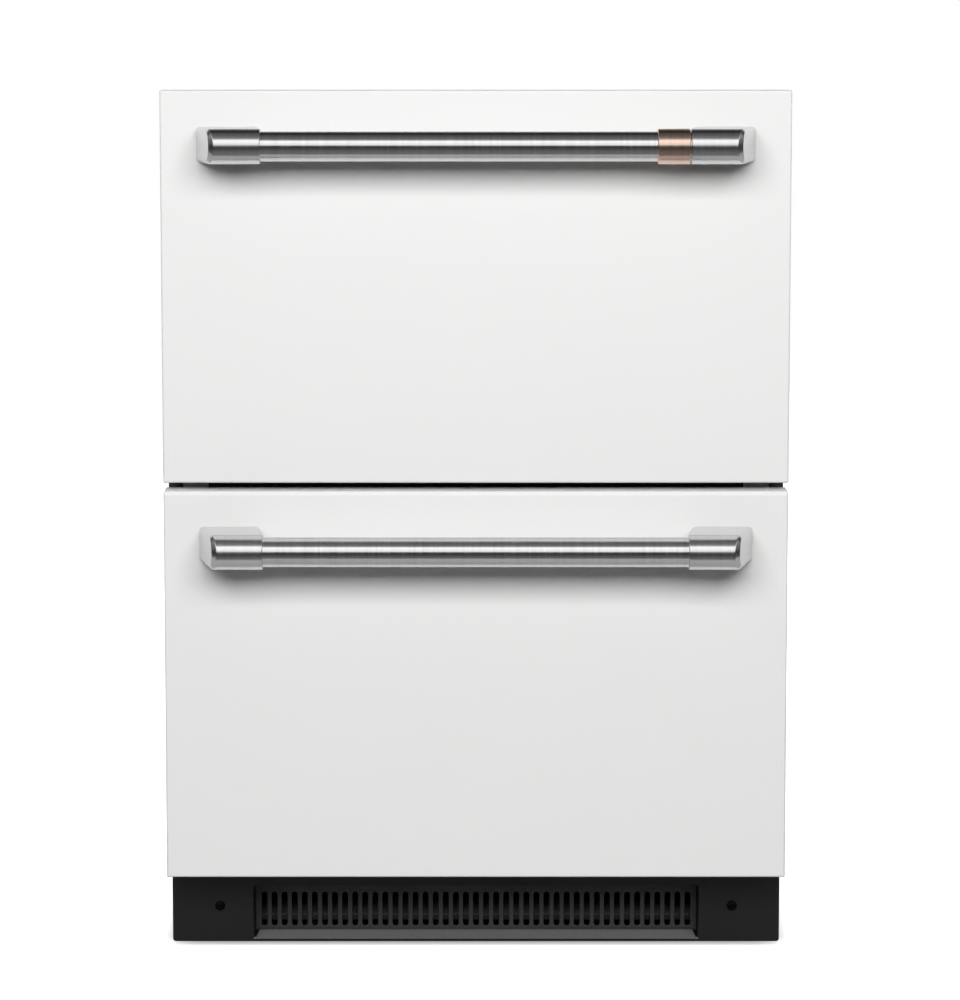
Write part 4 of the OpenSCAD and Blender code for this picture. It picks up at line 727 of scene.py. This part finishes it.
def plusSymbol(x, z, facts):
    # the upright is in two halves, so that no two pieces overlap
    length, width = facts["armLength"], facts["armWidth"]
    quarter = length / 4 + width / 4
    return minusSymbol(x, z, facts) + [bar(x, z + side * quarter, length / 2 - width / 2, width, True)
                                       for side in (-1, 1)]


def digitPair(x, z, facts):
    step = facts["digitWidth"] + facts["digitGap"]
    first = (len(facts["digits"]) - 1) / 2
    outlines = []
    for i, digit in enumerate(facts["digits"]):
        outlines += digitBars(x + (i - first) * step, z, facts, digit)
    return outlines


marked = {
    # the node that carries the mark, its outlines, the body, the finish and the slot
    "displayDigits": ("control_display", digitPair, "cabinet", "digitGlow", "light_lens"),
    "powerSymbol": ("power_button", powerSymbol, "power_key", "whitePlastic", "white_plastic"),
    "colderSymbol": ("colder_button", minusSymbol, "colder_key", "whitePlastic", "white_plastic"),
    "warmerSymbol": ("warmer_button", plusSymbol, "warmer_key", "whitePlastic", "white_plastic"),
}
for markName, (nodeName, draw, body, finish, slot) in marked.items():
    low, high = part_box(nodeName)
    outlines = draw((low[0] + high[0]) / 2, (low[2] + high[2]) / 2, marks)
    solid = prisms(outlines, low[1] - marks["proud"], low[1] + marks["proud"], finishes[finish])
    placePiece(markName, solid, body, slot)
print("marks placed")


# camera, at the photograph's viewing angle

cameraFacts = {"distance": 3.8, "height": 0.94, "aside": 0.004, "tilt": 6.55, "focalPixels": 3699.0,
               "framePixels": 1000.0, "sensor": 36.0, "shift": -0.08, "clipEnd": 60.0}


def makeCamera(facts):
    data = bpy.data.cameras.new("camera")
    data.sensor_width = facts["sensor"]
    data.lens = facts["sensor"] * facts["focalPixels"] / facts["framePixels"]
    data.shift_y = facts["shift"]
    data.clip_end = facts["clipEnd"]
    camera = bpy.data.objects.new("camera", data)
    camera.location = (facts["aside"], -facts["distance"], facts["height"])
    camera.rotation_euler = (math.radians(90.0 - facts["tilt"]), 0.0, 0.0)
    bpy.context.collection.objects.link(camera)
    bpy.context.scene.camera = camera


makeCamera(cameraFacts)


# floor, studio and lamps

studio = {
    "ambient": 0.035,
    # what shines sees a dim room: a soft box high in front that fades towards the sides, a glow above it and
    # a faint light from below; the limits are parts of a direction, upwards, sideways or backwards
    "dark": 0.05, "boxPeak": 1.22, "boxMiddle": 0.45, "boxSpan": 0.285, "boxEdge": 0.05,
    "boxSide": 0.5, "boxSideEdge": 0.2, "boxSideLeft": 0.1,
    "glow": 0.26, "glowTop": 0.07, "glowEdge": 0.1, "downGlow": 0.13, "downStart": -0.15, "downEnd": -0.65,
    # towards the back the room gives way to a white sweep, low down
    "frontEnd": 0.3, "frontLeft": 0.15, "sweep": 0.8, "sweepStart": 0.25, "sweepFull": 0.55,
    "sweepTop": 0.35, "sweepEdge": 0.15,
}
floorFacts = {
    "half": 4.0, "front": -0.76, "back": 5.0, "roughness": 0.7,
    # how bright it looks to the camera near the object and how far out that reaches, then its tones to
    # the camera, to what shines and to what is matt
    "glow": 0.85, "shadowReach": 0.75, "shadowFade": 1.6, "plain": 0.82, "shine": 0.56, "bounce": 0.3,
    # the floor under the cabinet gives no light of its own, and its colour there is darkened into painted
    # shade
    "underWidth": 0.3, "underFront": -0.185, "underBack": 0.33, "underEdge": 0.02, "underTone": 0.08,
}
white = (1.0, 1.0, 1.0, 1.0)
lamps = {
    # place, aim, size across and down, power in watts
    "key": ((0.0, -2.9, 1.73), (0.0, -0.27, 0.5), (2.7, 1.1), 97.0),
    "left": ((-2.4, 0.9, 1.0), (0.0, 0.1, 0.4), (1.4, 1.2), 18.0),
    "right": ((2.4, 0.9, 1.0), (0.0, 0.1, 0.4), (1.4, 1.2), 18.0),
    "rear": ((0.0, 2.8, 1.5), (0.0, 0.3, 0.4), (2.0, 1.4), 46.0),
    "top": ((0.0, 0.5, 2.9), (0.0, 0.3, 0.8), (1.6, 1.2), 8.0),
}


def makeLamp(name, place, aim, size, power):
    data = bpy.data.lights.new(name, "AREA")
    data.shape = "RECTANGLE"
    data.size, data.size_y = size
    data.energy = power
    lamp = bpy.data.objects.new(name, data)
    lamp.location = place
    lamp.rotation_euler = (Vector(aim) - Vector(place)).to_track_quat("-Z", "Y").to_euler()
    lamp.visible_camera = False
    lamp.visible_glossy = False
    bpy.context.collection.objects.link(lamp)


def separated(tree, output):
    # the directions or places that a texture coordinate gives, by axis
    node = addNode(tree, "ShaderNodeSeparateXYZ")
    feed(tree, node.inputs[0], addNode(tree, "ShaderNodeTexCoord").outputs[output])
    return node.outputs


def makeWorld(facts):
    # white where the camera looks past the object, a dim studio for what shines, plain light for the rest
    world = bpy.data.worlds.new("studio")
    world.use_nodes = True
    bpy.context.scene.world = world
    tree = world.node_tree
    background = tree.nodes["Background"]
    rays = addNode(tree, "ShaderNodeLightPath").outputs
    direction = separated(tree, "Generated")
    up, back = direction["Z"], direction["Y"]
    middle, span, edge = facts["boxMiddle"], facts["boxSpan"], facts["boxEdge"]

    offBox = mathNode(tree, "ABSOLUTE", mathNode(tree, "SUBTRACT", up, middle))
    box = remap(tree, offBox, span - edge, span + edge, facts["boxPeak"], 0.0)
    aside = mathNode(tree, "ABSOLUTE", direction["X"])
    boxWide = remap(tree, aside, facts["boxSide"], facts["boxSide"] + facts["boxSideEdge"],
                    1.0, facts["boxSideLeft"])
    glow = remap(tree, up, middle + span, 1.0, facts["glow"], facts["glowTop"])
    above = times(tree, glow, remap(tree, up, middle, middle + facts["glowEdge"]))
    below = remap(tree, up, facts["downStart"], facts["downEnd"], 0.0, facts["downGlow"])
    room = mathNode(tree, "ADD", mathNode(tree, "ADD", times(tree, box, boxWide), above),
                    mathNode(tree, "ADD", below, facts["dark"]))

    sweep = remap(tree, back, facts["sweepStart"], facts["sweepFull"], 0.0, facts["sweep"])
    low = remap(tree, up, facts["sweepTop"], facts["sweepTop"] + facts["sweepEdge"], 1.0, 0.0)
    front = remap(tree, back, 0.0, facts["frontEnd"], 1.0, facts["frontLeft"])
    shiny = mathNode(tree, "MAXIMUM", times(tree, sweep, low), times(tree, room, front))

    seen = mathNode(tree, "MAXIMUM", rays["Is Camera Ray"], rays["Is Transmission Ray"])
    direct = mathNode(tree, "LESS_THAN", rays["Diffuse Depth"], 0.5)
    glossy = times(tree, times(tree, rays["Is Glossy Ray"], direct), mathNode(tree, "SUBTRACT", 1.0, seen))
    rest = mathNode(tree, "SUBTRACT", 1.0, mathNode(tree, "MAXIMUM", seen, glossy))
    plain = times(tree, facts["ambient"], rest)
    strength = mathNode(tree, "ADD", seen, mathNode(tree, "MULTIPLY_ADD", glossy, shiny, plain))
    background.inputs["Color"].default_value = white
    feed(tree, background.inputs["Strength"], strength)


def within(tree, place, low, high, edge):
    # one between low and high, with a soft edge
    over = remap(tree, place, low - edge, low + edge)
    return times(tree, over, remap(tree, place, high - edge, high + edge, 1.0, 0.0))


def makeFloor(facts):
    half, front, back = facts["half"], facts["front"], facts["back"]
    mesh = bpy.data.meshes.new("floor")
    corners = [(-half, front, 0), (half, front, 0), (half, back, 0), (-half, back, 0)]
    mesh.from_pydata(corners, [], [(0, 1, 2, 3)])
    floor = bpy.data.objects.new("floor", mesh)
    bpy.context.collection.objects.link(floor)
    material, tree, shader, place = startMaterial("floorWhite", {
        "Roughness": facts["roughness"], "Emission Color": white})
    rays = addNode(tree, "ShaderNodeLightPath").outputs
    away = addNode(tree, "ShaderNodeVectorMath", operation="LENGTH")
    feed(tree, away.inputs[0], place)
    spot = separated(tree, "Object")
    edge = facts["underEdge"]
    under = times(tree, within(tree, spot["X"], -facts["underWidth"], facts["underWidth"], edge),
                  within(tree, spot["Y"], facts["underFront"], facts["underBack"], edge))
    reach = facts["shadowReach"]
    seen = remap(tree, away.outputs["Value"], reach, reach * facts["shadowFade"], facts["glow"], 1.0)
    seen = times(tree, seen, mathNode(tree, "SUBTRACT", 1.0, under))
    tones = ("plain", "shine", "bounce", "underTone")
    plain, shine, bounce, dark = ((facts[name],) * 3 + (1.0,) for name in tones)
    # under the cabinet the floor's colour turns dark: painted shade
    pale = mixColours(tree, under, mixColours(tree, rays["Is Glossy Ray"], plain, shine), dark)
    feed(tree, shader.inputs["Base Color"], mixColours(tree, rays["Is Diffuse Ray"], pale, bounce))
    feed(tree, shader.inputs["Emission Strength"], times(tree, rays["Is Camera Ray"], seen))
    mesh.materials.append(material)


makeWorld(studio)
makeFloor(floorFacts)
for lampName, facts in lamps.items():
    makeLamp(lampName, *facts)
bpy.context.scene.view_settings.view_transform = "Standard"
print("studio ready")
